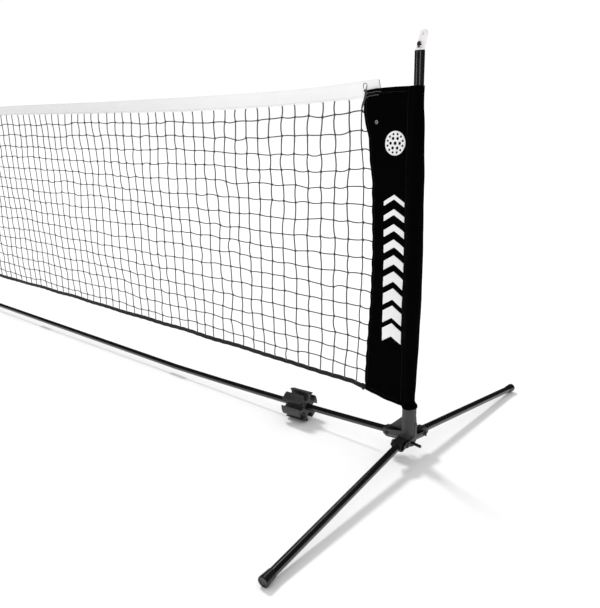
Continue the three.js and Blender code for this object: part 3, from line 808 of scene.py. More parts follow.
def build_leg(leg, d, place):
    axes, end = LEGS[d], LEG_END[d]
    body = f"leg_{leg}"
    run, pin = place @ axes["run"], place @ axes["pin"]
    make(f"leg_knuckle_{leg}", LEG_KNUCKLE[d].placed(place), "fitting", body,
         f"leg_fitting_{leg}")
    pipe = ring_tube(9.75, 8.5, LEG_TUBE_START, end + 1, run, seg=56, lip=0.35, rows=24)
    make(f"leg_pipe_{leg}", pipe, "tube", body, f"leg_tube_{leg}", sharp=50)
    boot = turned([(r, end + z, corner) for r, z, corner in BOOT], 3, 56, run)
    make(f"leg_boot_{leg}", boot, "foot", body, f"leg_foot_{leg}")
    grip = turned(LEG_PIN, 5, 32, pin)
    grip.join(sweep(PIN_HANDLE[:, :3], PIN_HANDLE[:, 3], 28), pin)
    make(f"leg_grip_pin_{leg}", grip, "steel", "frame", f"leg_pin_{leg}", sharp=45)
    washer = round2d(rect(4.3, -22.8, 6.6, -20.8), 3, radius=0.45)
    keeper = lathe(washer, 32, pin, closed=True)
    keeper.join(turned(PIN_NUB, 4, 20, pin @ Matrix.Translation((-5.3, 0, 0))))
    make(f"leg_pin_keeper_{leg}", keeper, "steel", "frame", f"leg_pin_clip_{leg}",
         sharp=45)


def cap_knot(at):
    """A larger knot on the cap's front and a smaller behind, joined through the blade (end R)."""
    narrow = Matrix.Scale(0.8, 4, (1, 0, 0))
    front = (at @ Matrix.Translation((-3.0, -6.4, CAP_HOLE_Z))
             @ Matrix.Scale(1.45, 4, (0, 0, 1)) @ narrow @ STAND)
    back = at @ Matrix.Translation((-0.6, 6.2, CAP_HOLE_Z)) @ narrow @ STAND
    knot = trefoil(3.6, 1.45, front).join(trefoil(3.0, 1.3, back))
    through = [(-0.6, y, CAP_HOLE_Z) for y in np.linspace(-6, 6, 6)]
    return knot.join(sweep(through, 1.7, 12), at)


def build_end(tag, turn):
    place = turn @ Matrix.Translation((POST_X, 0, 0))
    make(f"moulded_joint_{tag}", JOINT.placed(place), "moulding", "frame",
         f"end_joint_{tag}")
    make(f"bar_knuckle_{tag}", BAR_KNUCKLE.placed(place), "fitting", "frame",
         f"bar_end_fitting_{tag}")
    make(f"bar_pivot_pin_{tag}", turned(BAR_PIN, 4, 32, place @ BAR["pin"]), "steel", "frame",
         f"bar_pin_{tag}", sharp=40)
    for d in (-1, 1):
        facing = "front" if (d < 0) == (tag == "R") else "rear"
        build_leg(f"{facing}_{tag}", d, place)
    body = f"post_{tag}"
    leaning = place @ LEAN_M
    pipe = ring_tube(POST_R, 9.8, 64, 974, leaning, seg=64, lip=0.45, rows=40)
    make(f"post_pipe_{tag}", pipe, "tube", body, f"post_tube_{tag}", sharp=50)
    make(f"post_end_cap_{tag}", CAP.placed(place), "cap", body, f"post_cap_{tag}")
    make(f"cap_knot_{tag}", cap_knot(leaning @ CAP_TIP), "cord", body,
         f"cap_cord_knot_{tag}")


build_end("R", Matrix.Identity(4))
build_end("L", Matrix.Rotation(math.pi, 4, "Z"))


# -------------------------------------------------------------------- base bar
def bar_pipe(side, x0, x1, stations):
    """Hollow pipe along the bar's line, chamfered at both ends."""
    sides = 56
    xs = np.concatenate([[x0, x0 + 0.35], np.linspace(x0 + 1.2, x1 - 1.2, stations),
                         [x1 - 0.35, x1]])
    outer_r = np.full(len(xs), BAR_R)
    outer_r[[0, -1]] = 8.9
    inner_r = np.full(len(xs), 8.0)
    inner_r[[0, -1]] = 8.15
    path = np.stack([side * xs, 0 * xs, bar_z(xs)], 1)[::side]
    pipe = sweep(path, outer_r, sides, caps=False)
    offset = pipe.count
    inner = sweep(path, inner_r, sides, caps=False)
    pipe.add(inner.chunks[0], [face[::-1] for face in inner.faces],
             [corners[::-1] for corners in inner.uvs])
    for i, step in ((0, 1), (len(xs) - 1, -1)):
        for j in range(sides):
            a, b = i * sides + j, i * sides + (j + 1) % sides
            pipe.faces.append([b, a, offset + a, offset + b][::step])
            pipe.uvs.append([(0.0, 0.0)] * 4)
    return pipe


BAR_GAP = 0.3       # from each pipe's inner end, and the middle pipe's outer end, to the butt
for side, tag in ((1, "R"), (-1, "L")):
    for part, x0, x1, stations in (("mid", BAR_GAP, BAR_BEND_X - BAR_GAP, 10),
                                   ("end", BAR_BEND_X + BAR_GAP, POST_X - 72.6, 28)):
        make(f"bar_pipe_{part}_{tag}", bar_pipe(side, x0, x1, stations), "tube", "frame",
             f"bar_tube_{part}_{tag}", sharp=50)

# ------------------------------------------------------------------- clip hubs
HUB_HALF = 33.0
HUB_CLIP_R = 32     # from the hub's axis to the axis of each open clip
HUB_X = 1461.0


def clip_hub():
    """Thick disc on the bar with six open round clips and a notch in each web's two faces."""
    cuts = [rod(10.1, -40, 40, None, 48)]
    for k in range(6):
        clip = Matrix.Rotation(math.radians(60 * k + 18), 4, "Z")
        cuts.append(rod(11.4, -40, 40, clip @ Matrix.Translation((HUB_CLIP_R, 0, 0)), 56))
        cuts.append(prism(rect(HUB_CLIP_R, -8.5, 55, 8.5), -40, 40, clip))
        web = Matrix.Rotation(math.radians(60 * k + 48), 4, "Z")
        notch = round2d([(38.6, -7), (41.2, -8.2), (41.2, 8.2), (38.6, 7)], 3, radius=1)
        floor = HUB_HALF - 3.2
        cuts += [prism(notch, floor, 40, web), prism(notch, -40, -floor, web)]
    return moulded([rod(43.9, -HUB_HALF, HUB_HALF, None, 120)], cuts, voxel=0.85, smooth=4,
                   keep=0.6)


HUB = clip_hub()
hub_place = np.array([HUB_X, 0, float(bar_z(HUB_X))])
bar_dir = np.array([HUB_X + 200, 0, float(bar_z(HUB_X + 200))]) - hub_place
bar_dir = bar_dir / np.linalg.norm(bar_dir)
hub_at = basis((0, -1, 0), (-bar_dir[2], 0, bar_dir[0]), (-bar_dir[0], 0, -bar_dir[2]),
               hub_place)
for tag, at in (("R", hub_at), ("L", Matrix.Rotation(math.pi, 4, "Z") @ hub_at)):
    make(f"storage_clip_{tag}", HUB.placed(at), "hub", f"clip_{tag}",
         f"clip_hub_{tag}")

# ---------------------------------------------------------------- net outlines
EDGE = table(       # z, x of the sleeve's inner edge
    (150, 1693), (185, 1689.5), (268, 1692.4), (404, 1699.7), (532, 1701.2), (641, 1696.6),
    (707, 1694), (723, 1690.2), (746, 1685.8), (791, 1682.4), (818, 1674.8), (835, 1669),
    (853, 1665.6), (879, 1666.8), (899, 1669.5), (912, 1670))
TAPE_HI = table(    # |x|, z of the headband's top
    (0, 911.5), (250, 910), (553, 907.8), (1032, 907.6), (1261, 908.8), (1342, 909.6),
    (1453, 911.6), (1566, 915.6), (1596, 917.8), (1625, 919.5), (1659, 921.3), (1686, 922.7),
    (1710, 923))
TAPE_LO = table(    # |x|, z of the headband's underside
    (0, 877.5), (242, 874.1), (546, 870.9), (802, 868.9), (1028, 867), (1239, 868.2),
    (1326, 870.2), (1411, 871.9), (1451, 873.3), (1497, 874.6), (1541, 877), (1585, 878.7),
    (1626, 880.3), (1660, 882.7), (1710, 885.5))
END_CORD = table(   # z, |x| of the netting's end cords
    (208, 1664), (340, 1669), (500, 1672), (605, 1671.8), (685, 1671), (728, 1668.4),
    (769, 1663.4), (814, 1660.6), (856, 1660.2))
COLUMNS, ROWS, PITCH_Z = 78, 16, 42.0
NET_HALF = 1670
PITCH_X = 2 * NET_HALF / (COLUMNS - 1)


def edge_x(z):
    z = np.asarray(z, float)
    smooth = sum(np.interp(z + offset, *EDGE) for offset in (-7, -4, -2, 0, 2, 4, 7)) / 7
    scallop = 1.3 * np.cos((z - 209) / PITCH_Z * math.tau)
    return smooth - scallop * smoothstep(170, 215, z) * (1 - smoothstep(700, 760, z))


def axis_x(z):
    """The leaning post's axis."""
    return POST_X - (z - LEAN_Z) * math.tan(POST_LEAN)


def bottom_z(x):
    x = np.abs(np.asarray(x, float))
    return (181.9 - 14.8 * (x / 1641) ** 2 - 1.8 * bell(x, 560, 330)
            - 4.2 * smoothstep(1640, 1690, x))


def tape_lo(x):
    return np.interp(np.abs(x), *TAPE_LO)


# --------------------------------------------------------------------- netting
net_rng = np.random.default_rng(11)
column_x = NET_HALF - PITCH_X * np.arange(COLUMNS)
grid_x, grid_z = np.meshgrid(column_x, 841 - PITCH_Z * np.arange(ROWS), indexing="ij")
knot_y = 1.6 * waves(grid_x, grid_z, 5, 520, 420) + 0.5 * net_rng.normal(size=grid_x.shape)
shift_x = 2.2 * waves(grid_x, grid_z, 6, 330, 260) + 1.25 * net_rng.normal(size=grid_x.shape)
shift_z = 2.4 * waves(grid_x, grid_z, 7, 300, 280) + 1.25 * net_rng.normal(size=grid_x.shape)
from_end = np.minimum(np.arange(COLUMNS), COLUMNS - 1 - np.arange(COLUMNS))[:, None]
end_lift = (15 - 1.15 * np.arange(ROWS)[None, :]) * bell(from_end, 0, 1.9)
knot_x = grid_x + shift_x
knot_y = knot_y * smoothstep(0, 4, from_end + 0.5)
knot_z = grid_z + shift_z * smoothstep(-1, 2, from_end) + end_lift
for column, side in ((0, 1), (COLUMNS - 1, -1)):
    knot_x[column] = (side * np.interp(knot_z[column], *END_CORD)
                      + 0.5 * net_rng.normal(size=ROWS))
CORD_R = 1.6


def curve_through(points, bend, steps=3):
    """Path through the points, each span bowed by its bend."""
    out = []
    for i in range(len(points) - 1):
        t = np.linspace(0, 1, steps, endpoint=False)[:, None]
        out.append(points[i] * (1 - t) + points[i + 1] * t + bend[i] * (4 * t * (1 - t)))
    out.append(points[-1:])
    return np.concatenate(out)


def upright_cords():
    geo = Geo()
    for c in range(COLUMNS):
        top_x = knot_x[c, 0] + net_rng.normal() * 1.5
        if from_end[c, 0] == 0:
            continue                # the end lacing takes this column's place
        top = [[top_x, 0, float(tape_lo(column_x[c])) + 1.5]]
        foot = [[knot_x[c, -1] + net_rng.normal() * 1.2, 0, float(bottom_z(column_x[c])) + 2]]
        points = np.concatenate([top, np.stack([knot_x[c], knot_y[c], knot_z[c]], 1), foot])
        bend = net_rng.normal(size=(len(points) - 1, 3)) * (1.5, 0.6, 0.2)
        geo.join(sweep(curve_through(points, bend), CORD_R * 1.12, 6))
    return geo


def cross_cords():
    geo = Geo()
    for r in range(ROWS):
        right_z, left_z = float(knot_z[0, r]) - 2, float(knot_z[-1, r]) - 2
        points = np.concatenate([
            [[edge_x(right_z) + 1.0, 0, right_z]],
            np.stack([knot_x[:, r], knot_y[:, r] + 1.2, knot_z[:, r]], 1),
            [[-edge_x(left_z) - 1.0, 0, left_z]]])
        bend = net_rng.normal(size=(len(points) - 1, 3)) * (0.2, 0.6, 1.5)
        bend[:, 2] -= 0.5
        geo.join(sweep(curve_through(points, bend), CORD_R, 6))
    return geo


def unit_ball(n=8, m=5):
    """Coarse ball of n meridians and m bands."""
    verts, faces = [(0, 0, -1)], []
    for i in range(1, m):
        a = math.pi * i / m - math.pi / 2
        verts += [(x, y, math.sin(a)) for x, y in oval(0, 0, math.cos(a), math.cos(a), n)]
    verts.append((0, 0, 1))
    last = 1 + (m - 2) * n
    for j in range(n):
        k = (j + 1) % n
        faces.append([0, 1 + k, 1 + j])
        faces.append([last + j, last + k, len(verts) - 1])
        for i in range(m - 2):
            low = 1 + i * n
            faces.append([low + j, low + k, low + n + k, low + n + j])
    return np.array(verts), faces


def net_knots():
    geo = Geo()
    ball, faces = unit_ball()
    uvs = [[(ball[i][0], ball[i][2] * 3) for i in face] for face in faces]
    for c in range(COLUMNS):
        for r in range(ROWS):
            tilt = net_rng.uniform(0, math.pi) * 0.3
            v = ball * (np.array([3.3, 2.7, 3.6]) * net_rng.uniform(0.88, 1.15))
            cos, sin = math.cos(tilt), math.sin(tilt)
            v = np.stack([v[:, 0] * cos - v[:, 2] * sin, v[:, 1],
                          v[:, 0] * sin + v[:, 2] * cos], 1)
            geo.add(v + (knot_x[c, r], knot_y[c, r] + 0.6, knot_z[c, r]), faces, uvs)
    return geo


make("net_upright_cords", upright_cords(), "net_up", "net", "netting")
make("net_cross_cords", cross_cords(), "net", "net")
make("net_knots", net_knots(), "net", "net")


# -------------------------------------------------------------------- headband
def strip_loft(xs, section):
    """Lofts the closed section(x) along xs, with flat ends."""
    rows = [section(x) for x in xs]
    n = len(rows[0])
    faces, uvs = [], []
    for i in range(len(xs) - 1):
        for j in range(n):
            k = (j + 1) % n
            faces.append([i * n + j, (i + 1) * n + j, (i + 1) * n + k, i * n + k])
            u0, u1 = j / n, (j + 1) / n
            uvs.append([(u0, xs[i]), (u0, xs[i + 1]), (u1, xs[i + 1]), (u1, xs[i])])
    last = (len(xs) - 1) * n
    faces.append(list(range(n)))
    faces.append([last + j for j in range(n)][::-1])
    uvs += [[(0.0, 0.0)] * n] * 2
    return Geo().add(np.concatenate(rows), faces, uvs)


def stitches(paths, pitch, length, radius, sides=5):
    """Rows of short thread stitches along 3D paths."""
    geo = Geo()
    for path in paths:
        path = np.asarray(path, float)
        steps = np.linalg.norm(np.diff(path, axis=0), axis=1)
        along = np.concatenate([[0], np.cumsum(steps)])
        k = 0
        while k * pitch + length < along[-1]:
            t = np.linspace(k * pitch, k * pitch + length, 4)
            points = np.stack([np.interp(t, along, path[:, i]) for i in range(3)], 1)
            geo.join(sweep(points, np.array([0.35, 1, 1, 0.35]) * radius, sides))
            k += 1
    return geo


TAPE_SEAM = 0.125       # share of the tape's height
TAPE_PROFILE = [        # share of the tape's height, half thickness as a share
    (0.0, 0.42), (0.012, 0.58), (0.09, 0.60), (TAPE_SEAM, 0.50), (0.16, 0.66), (0.30, 0.74),
    (0.5, 0.78), (0.66, 0.84), (0.78, 0.98), (0.86, 1.08), (0.93, 1.0), (0.975, 0.7),
    (1.0, 0.25)]


def tape_state(x):
    """Underside z, top z, middle y, half thickness, and how far the tape has become a tab."""
    dist = abs(x)
    tab = smoothstep(1652, 1696, dist)
    low = float(tape_lo(dist)) + 0.5 * math.cos(x / PITCH_X * math.tau)
    high = float(np.interp(dist, *TAPE_HI))
    middle = 3.0 * tab + 0.7 * float(waves(x, 0.0, 31, 420, 1)) * (1 - tab)
    return low, high, middle, 2.3 * (1 - tab) + 0.95 * tab, tab


def tape_section(x):
    low, high, middle, half, tab = tape_state(x)
    side = 1 if x >= 0 else -1
    out = []
    # face along y, profile, size of the relief, pucker length and phase, ripple seed
    for face, profile, relief, length, phase, seed in (
            (-1, TAPE_PROFILE, 1.0, 5.7, 0, 33), (1, TAPE_PROFILE[::-1], 0.6, 5.3, 1, 34)):
        for share, width in profile:
            z = low + (high - low) * share
            pucker = 0.22 * math.sin(x / length + phase) * bell(share, TAPE_SEAM, 0.09)
            ripple = 0.35 * float(waves(x, z, seed, 70, 60)) * math.sin(math.pi * share)
            slant = side * tab * (4.0 - 8.0 * share) * smoothstep(1682, 1708, abs(x))
            y = middle + face * half * width + relief * (pucker * (1 - tab) + ripple)
            out.append((x + slant, y, z))
    return np.array(out)


def headband_seams():
    paths = []
    for face in (-1, 1):
        path = []
        for x in np.linspace(-1648, 1648, 550):
            low, high, middle, half, _ = tape_state(x)
            path.append((x, middle + face * (half * 0.5 + 0.32), low + TAPE_SEAM * (high - low)))
        paths.append(path)
    return paths


xs = np.concatenate([np.linspace(-1707, -1650, 22), np.linspace(-1642, 1642, 470),
                     np.linspace(1650, 1707, 22)])
make("headband_tape", strip_loft(xs, tape_section), "headband", "net", "headband",
     sharp=60)
core = [(x, tape_state(x)[2], tape_state(x)[1] - 3.6) for x in np.linspace(-1640, 1640, 260)]
make("headband_core_cord", sweep(core, 1.7, 10), "cord", "net", "headband_cord")
for side, tag in ((1, "R"), (-1, "L")):
    seam = [(side * (1704.5 + 5.5 * t), 1.9, 921.5 - 19 * t) for t in np.linspace(0, 1, 12)]
    make(f"headband_tab_seam_{tag}", sweep(seam, 0.7, 8), "pale", "net")
make("headband_stitching", stitches(headband_seams(), pitch=6.0, length=4.2, radius=0.42),
     "white_thread", "net")

# -------------------------------------------------------------- bottom binding
BINDING = [     # y, z of the folded tape, before its scale
    (-0.9, 5.4), (-1.5, 4.2), (-1.45, 2.5), (-1.75, 0), (-2.0, -3), (-1.9, -4.6), (-1.1, -5.5),
    (0, -5.8), (1.1, -5.5), (1.9, -4.6), (2.0, -3), (1.75, 0), (1.45, 2.5), (1.5, 4.2),
    (0.9, 5.4), (0, 5.0)]
BINDING_SCALE_Y, BINDING_SCALE_Z = 1.1, 1.2
PUCKER_ROW_Z = 2.5      # unscaled z of the puckered points


def binding_section(x):
    z0 = (float(bottom_z(x)) + 0.9 * float(waves(x, 0.0, 41, 260, 1))
          + 0.5 * math.cos(x / PITCH_X * math.tau))
    y0 = 0.5 * float(waves(x, 0.0, 42, 300, 1))
    twist = 0.12 * float(waves(x, 0.0, 43, 400, 1))
    cos, sin = math.cos(twist), math.sin(twist)
    out = []
    for y, z in BINDING:
        pucker = 0.14 * math.sin(x / 2.9) if z == PUCKER_ROW_Z else 0
        y, z = y * BINDING_SCALE_Y, z * BINDING_SCALE_Z
        out.append((x, y0 + (y + pucker) * cos - z * sin, z0 + y * sin + z * cos))
    return np.array(out)[::-1]


make("bottom_binding", strip_loft(np.linspace(-1691, 1691, 520), binding_section), "edging",
     "net", "bottom_tape", sharp=60)
# the stitches follow one point of the section on each face
paths = [[binding_section(x)[point] + (0, face * 0.12, 0) for x in np.linspace(-1678, 1678, 500)]
         for face, point in ((-1, 13), (1, 2))]
make("bottom_binding_stitching", stitches(paths, pitch=5.0, length=3.4, radius=0.3), "thread",
     "net")

# ---------------------------------------------------------------- side sleeves
SEAM_GAP = 24.0         # from the post's axis to where the two plies part round it
TUNNEL_SEAM = SEAM_GAP + 1.5
HEM_SEAM, EDGE_SEAM = 10.5, 7.5     # from the hems and from the inner edge
N_PANEL, N_ARC, N_ROWS = 44, 30, 190
TUNNEL_R = table(       # z, radius of the cloth round the post
    (139, 19.4), (148, 19.5), (151, 18.4), (155, 15.2), (162, 13.1), (179, 12.9), (203, 14.2),
    (227, 15.0), (251, 16.2), (300, 17.1), (346, 18.9), (392, 20.3), (436, 20.9), (481, 21.2),
    (524, 20.5), (566, 20.0), (608, 19.9), (649, 19.8), (689, 18.5), (729, 18.0), (768, 17.1),
    (806, 15.8), (843, 14.1), (857, 13.2), (880, 12.8), (910, 12.3))
SLEEVE_TOP = table(     # x, z
    (1665, 893), (1671.6, 896.7), (1676.2, 900), (1687, 901.5), (1698, 902.7), (1709, 903.1),
    (1730, 904.1), (1750, 904.6), (1761, 904.7), (1791, 904.4), (1815, 904), (1850, 903.6))
SLEEVE_LOW = table(     # x, z
    (1685, 157), (1694, 156), (1701, 154.8), (1714, 151.8), (1726, 150), (1739, 147.9),
    (1751, 145.8), (1764, 144), (1776, 142.6), (1788, 141.2), (1800, 140.4), (1808, 141),
    (1820, 141.5), (1830, 142), (1840, 143.3), (1850, 144.8))


def top_z(x):
    return np.interp(x, *SLEEVE_TOP)


def low_z(x):
    return np.interp(x, *SLEEVE_LOW)


def panel_warp(x, z):
    """Bow and ripple that both plies share, along y."""
    share = (x - edge_x(z)) / (axis_x(z) - edge_x(z))
    soft = np.clip(share * (1 - share) * 4, 0, 1)
    scallop = 0.8 * bell(x, edge_x(z), 26.0) * np.cos((z - 211) / PITCH_Z * math.tau)
    return 1.6 * waves(x, z, 51, 190, 300) * soft + scallop + 0.45 * waves(x, z, 52, 60, 46) * soft


def fold(dist, seam, raised, dip):
    """Thickness of a double fold, with a dip along its seam."""
    return raised * (1 - smoothstep(seam + 1, seam + 3, dist)) - dip * bell(dist, seam, 1.1)


def ply(x, z, face):
    """Height of a ply's outer face off the warp: folds, seam dips and puckers."""
    from_edge = x - edge_x(z)
    h = 1.35 + 0.35 * waves(x, z, 60 + face, 85, 120) * smoothstep(6, 30, from_edge)
    for dist in (top_z(x) - z, z - low_z(x)):
        h = h + fold(dist, HEM_SEAM, raised=0.55, dip=0.38)
        h = h + 0.16 * np.sin(x / 2.1) * bell(dist, HEM_SEAM, 4.0)
    h = h + fold(from_edge, EDGE_SEAM, raised=0.45, dip=0.34)
    h = h + 0.16 * np.sin(z / 2.3) * bell(from_edge, EDGE_SEAM, 4.0)
    from_axis = axis_x(z) - x
    h = h - 0.55 * bell(from_axis, TUNNEL_SEAM, 1.6)
    h = h + 0.22 * np.sin(z / 2.6 + face) * bell(from_axis, TUNNEL_SEAM, 6.0)
    return np.maximum(h, 0.75)


def face_y(x, z, face=-1):
    return panel_warp(x, z) + face * ply(x, z, face)


def settle(rise, x_at):
    """x and z of a column between the hem lines; rise is 0 at the bottom hem and 1 at the top."""
    z = 150 + rise * 754.0
    for _ in range(3):
        x = x_at(z)
        z = low_z(x) + rise * (top_z(x) - low_z(x))
    return x, z


def panel_column(rise, share, face, inset):
    """Column of a flat ply; share is 0 at the inner edge and 1 at the tunnel."""
    reach = share ** 0.92
    x, z = settle(rise, lambda z: edge_x(z) + reach * (axis_x(z) - SEAM_GAP - edge_x(z)))
    h = ply(x, z, face) - inset
    # the fold at the inner edge is round
    roll = np.clip((x - edge_x(z)) / 2.2, 0, 1)
    y = panel_warp(x, z) + face * h * np.sqrt(np.clip(1 - (1 - roll) ** 2, 0.02, 1))
    return np.stack([x + (inset if share < 0.02 else 0.0), y, z], 1)


GORE = math.acos(13.5 / SEAM_GAP)
ARC_START, ARC_END = math.pi + GORE, math.pi - GORE + math.tau


def tunnel_column(rise, angle, inset):
    """Column of the tunnel round the post."""
    x, z = settle(rise, lambda z: axis_x(z) + np.interp(z, *TUNNEL_R) * math.cos(angle))
    tight = np.interp(z, *TUNNEL_R)
    slack = smoothstep(11.8, 14.5, tight) * smoothstep(150, 180, z)
    around = angle * 40.0
    crease = 0.5 * waves(around, z, 71, 60, 90) + 0.3 * waves(around, z, 72, 26, 150)
    hem = sum(fold(dist, HEM_SEAM, raised=0.4, dip=0.25)
              for dist in (top_z(x) - z, z - low_z(x)))
    loose = np.maximum(tight + 0.25 + crease * slack + hem, 11.9)
    fade = smoothstep(0, 0.5, min(angle - ARC_START, ARC_END - angle))
    r = tight - inset + (loose - tight) * fade
    warp = panel_warp(axis_x(z) - SEAM_GAP, z) * (0.5 - 0.5 * math.cos(angle)) * 0.12
    return np.stack([axis_x(z) + r * math.cos(angle), r * math.sin(angle) + warp, z], 1)


def sleeve_surface(rise, inset):
    """(rows, columns, 3) grid from the inner edge's front round the post and back."""
    shares = np.linspace(0, 1, N_PANEL)
    columns = [panel_column(rise, s, -1, inset) for s in shares]
    columns += [tunnel_column(rise, a, inset) for a in np.linspace(ARC_START, ARC_END, N_ARC)]
    columns += [panel_column(rise, s, 1, inset) for s in np.linspace(1, 0, N_PANEL)]
    return np.stack(columns, 1)


def sleeve():
    """Outer and inner skins of the cloth, joined along both hems."""
    # closer rows in the hems
    rise = np.sort(np.concatenate([np.linspace(0, 1, N_ROWS), np.linspace(0, 0.03, 12)[1:-1],
                                   np.linspace(0.97, 1, 12)[1:-1]]))
    outer, inner = sleeve_surface(rise, 0.0), sleeve_surface(rise, 0.55)
    rows, cols = outer.shape[:2]
    skin = rows * cols
    faces = []
    for i in range(rows - 1):
        for j in range(cols):
            k = (j + 1) % cols
            quad = [i * cols + j, i * cols + k, (i + 1) * cols + k, (i + 1) * cols + j]
            faces.append(quad)
            faces.append([skin + quad[q] for q in (1, 0, 3, 2)])
    top = (rows - 1) * cols
    for j in range(cols):
        k = (j + 1) % cols
        faces.append([skin + j, skin + k, k, j])
        faces.append([top + j, top + k, skin + top + k, skin + top + j])
    return Geo().add(np.concatenate([outer.reshape(-1, 3), inner.reshape(-1, 3)]), faces)


# -------------------------------------------- graphic: thin film on the front ply
BALL_Z, BALL_R = 784.0, 27.0


def graphic_x(z):
    return 1754.75 + (817 - z) * 13.75 / 524.0


def film_verts(x, z):
    """Front and back vertices of the film over the given places."""
    front = face_y(x, z) - 0.24
    return np.concatenate([np.stack([x, front, z], 1), np.stack([x, front + 0.34, z], 1)])


def chevron(z0, height):
    """One upward-pointing chevron."""
    s, t = np.meshgrid(np.linspace(-1, 1, 29), np.linspace(0, 1, 8))
    rows, cols = s.shape
    z = z0 + 17.0 * (1 - np.abs(s)) + height * t
    x = graphic_x(z) + s * 27.5
    n = rows * cols
    faces = []
    for i in range(rows - 1):
        for j in range(cols - 1):
            a = i * cols + j
            quad = [a, a + 1, a + cols + 1, a + cols]
            faces += [quad, [n + q for q in quad][::-1]]
    rim = [j for j in range(cols)] + [i * cols + cols - 1 for i in range(1, rows)]
    rim += [(rows - 1) * cols + j for j in range(cols - 2, -1, -1)]
    rim += [i * cols for i in range(rows - 2, 0, -1)]
    faces += [[b, a, n + a, n + b] for a, b in zip(rim, rim[1:] + rim[:1])]
    return Geo().add(film_verts(x.ravel(), z.ravel()), faces)


def perforated_ball():
    """Disc with a centre hole and two rings of holes, filled as a flat curve."""
    circles = [(0, 0, BALL_R), (0, 0, 3.9)]     # x, y, radius
    for ring_r, count, turn, hole_r in ((12.0, 6, 0, 3.5), (20.6, 12, 0.26, 2.6)):
        circles += [(ring_r * math.cos(a + turn), ring_r * math.sin(a + turn), hole_r)
                    for a in np.arange(count) / count * math.tau]
    curve = bpy.data.curves.new("ball", "CURVE")
    curve.dimensions = "2D"
    curve.fill_mode = "BOTH"
    for x, y, radius in circles:
        points = oval(x, y, radius, radius, 72 if radius == BALL_R else 20)
        spline = curve.splines.new("POLY")
        spline.points.add(len(points) - 1)
        for point, place in zip(spline.points, points):
            point.co = (*place, 0, 1)
        spline.use_cyclic_u = True
    ob = bpy.data.objects.new("ball", curve)
    bpy.context.scene.collection.objects.link(ob)
    bm = bmesh.new()
    bm.from_mesh(baked(ob))
    bmesh.ops.remove_doubles(bm, verts=bm.verts, dist=1e-4)
    bmesh.ops.triangulate(bm, faces=bm.faces)
    for face in bm.faces:
        face.normal_update()
    step = -1 if sum(face.normal.z for face in bm.faces) < 0 else 1
    bm.verts.ensure_lookup_table()
    flat = np.array([tuple(v.co)[:2] for v in bm.verts])
    tris = [[v.index for v in face.verts][::step] for face in bm.faces]
    border = [[loop.vert.index, loop.link_loop_next.vert.index][::step]
              for e in bm.edges if len(e.link_loops) == 1 for loop in e.link_loops]
    bm.free()
    bpy.data.objects.remove(ob)
    n = len(flat)
    faces = tris + [[n + i for i in tri][::-1] for tri in tris]
    faces += [[b, a, n + a, n + b] for a, b in border]
    return Geo().add(film_verts(flat[:, 0] + graphic_x(BALL_Z), flat[:, 1] + BALL_Z), faces)


def sleeve_graphic():
    """A perforated ball over nine chevrons that thin as they rise."""
    geo = perforated_ball()
    z = 305.0
    for k in range(9):
        height = 34.0 - 2.9 * k
        geo.join(chevron(z, height))
        z += height + 14.0 + 1.2 * k
    return geo


# --------------------------------------------------- sleeve stitching and cords
LINE = np.linspace(0.0, 1.0, 400)


def on_face(x, z, face, lift=0.12):
    return np.stack([x, face_y(x, z, face) + face * lift, z], 1)


def sleeve_stitching():
    """Edge seam, tunnel seam and both hems, on both faces."""
    paths = []
    for face in (-1, 1):
        z = 178 + LINE * 718
        paths.append(on_face(edge_x(z) + EDGE_SEAM, z, face))
        z = 152 + LINE * 748
        paths.append(on_face(axis_x(z) - TUNNEL_SEAM, z, face))
        for length, hem_z, inward in ((101, top_z, -1), (118, low_z, 1)):
            x = 1680 + LINE * length
            z = hem_z(x) + inward * HEM_SEAM
            paths.append(on_face(np.maximum(x, edge_x(z) + 4), z, face))
    return stitches(paths, pitch=4.4, length=3.1, radius=0.34)


def bartack():
    """Two short rows of heavy stitches at the front ply's top inner corner."""
    paths = []
    for below, x0, x1 in ((7.0, 1675, 1716), (14.0, 1669, 1713)):
        x = x0 + LINE * (x1 - x0)
        paths.append(on_face(x, top_z(x) - below + 0.5 * np.sin(x / 3.0), -1, lift=0.5))
    return stitches(paths, pitch=5.2, length=4.6, radius=0.75, sides=6)


def grommet(x=1703.5, z=830.5):
    profile = round2d([(1.4, 0), (4.2, 0), (4.7, 0.5), (3.7, 1.35), (1.6, 1.2)], 3, radius=0.35)
    at = basis((1, 0, 0), (0, 0, 1), (0, -1, 0), (x, float(face_y(x, z)) + 0.1, z))
    return lathe(profile, 32, at, closed=True)


def end_lacing(side):
    """Cord down the netting's end, with a second short strand at its top corner."""
    column = 0 if side > 0 else -1
    knots = np.stack([side * knot_x[column], knot_y[column] - 0.6, knot_z[column]], 1)
    points = np.concatenate([[(1671.0, -2.2, 896), (1667.0, -2.6, 878)], knots,
                             [(1662.5, -0.6, float(bottom_z(1662.5)) + 3)]])
    rng = np.random.default_rng(77)
    bend = rng.normal(size=(len(points) - 1, 3)) * (1.3, 0.4, 0.2)
    lacing = sweep(curve_through(points, bend, 4), 1.5, 8)
    strand = np.array([(1675.5, -2.6, 897), (1672.6, -3.2, 886), (1669.0, -3.2, 874),
                       (knots[0][0] + 0.6, -2.8, knots[0][2] + 1)])
    return lacing.join(sweep(curve_through(strand, np.zeros((3, 3)), 4), 1.2, 8))


def corner_loop():
    """Open loop standing over the sleeve's corner, with a knot."""
    t = np.linspace(-0.42 * math.pi, 1.42 * math.pi, 40)
    loop = np.stack([1668.5 + 6.0 * np.cos(t) * (0.75 + 0.25 * np.sin(t)),
                     0.6 * np.sin(2 * t) - 0.4, 907.3 + 8.2 * np.sin(t)], 1)
    knot = trefoil(3.1, 1.15, Matrix.Translation((1670.5, -2.8, 898.6)) @ STAND)
    return sweep(loop, 0.95, 10).join(knot)


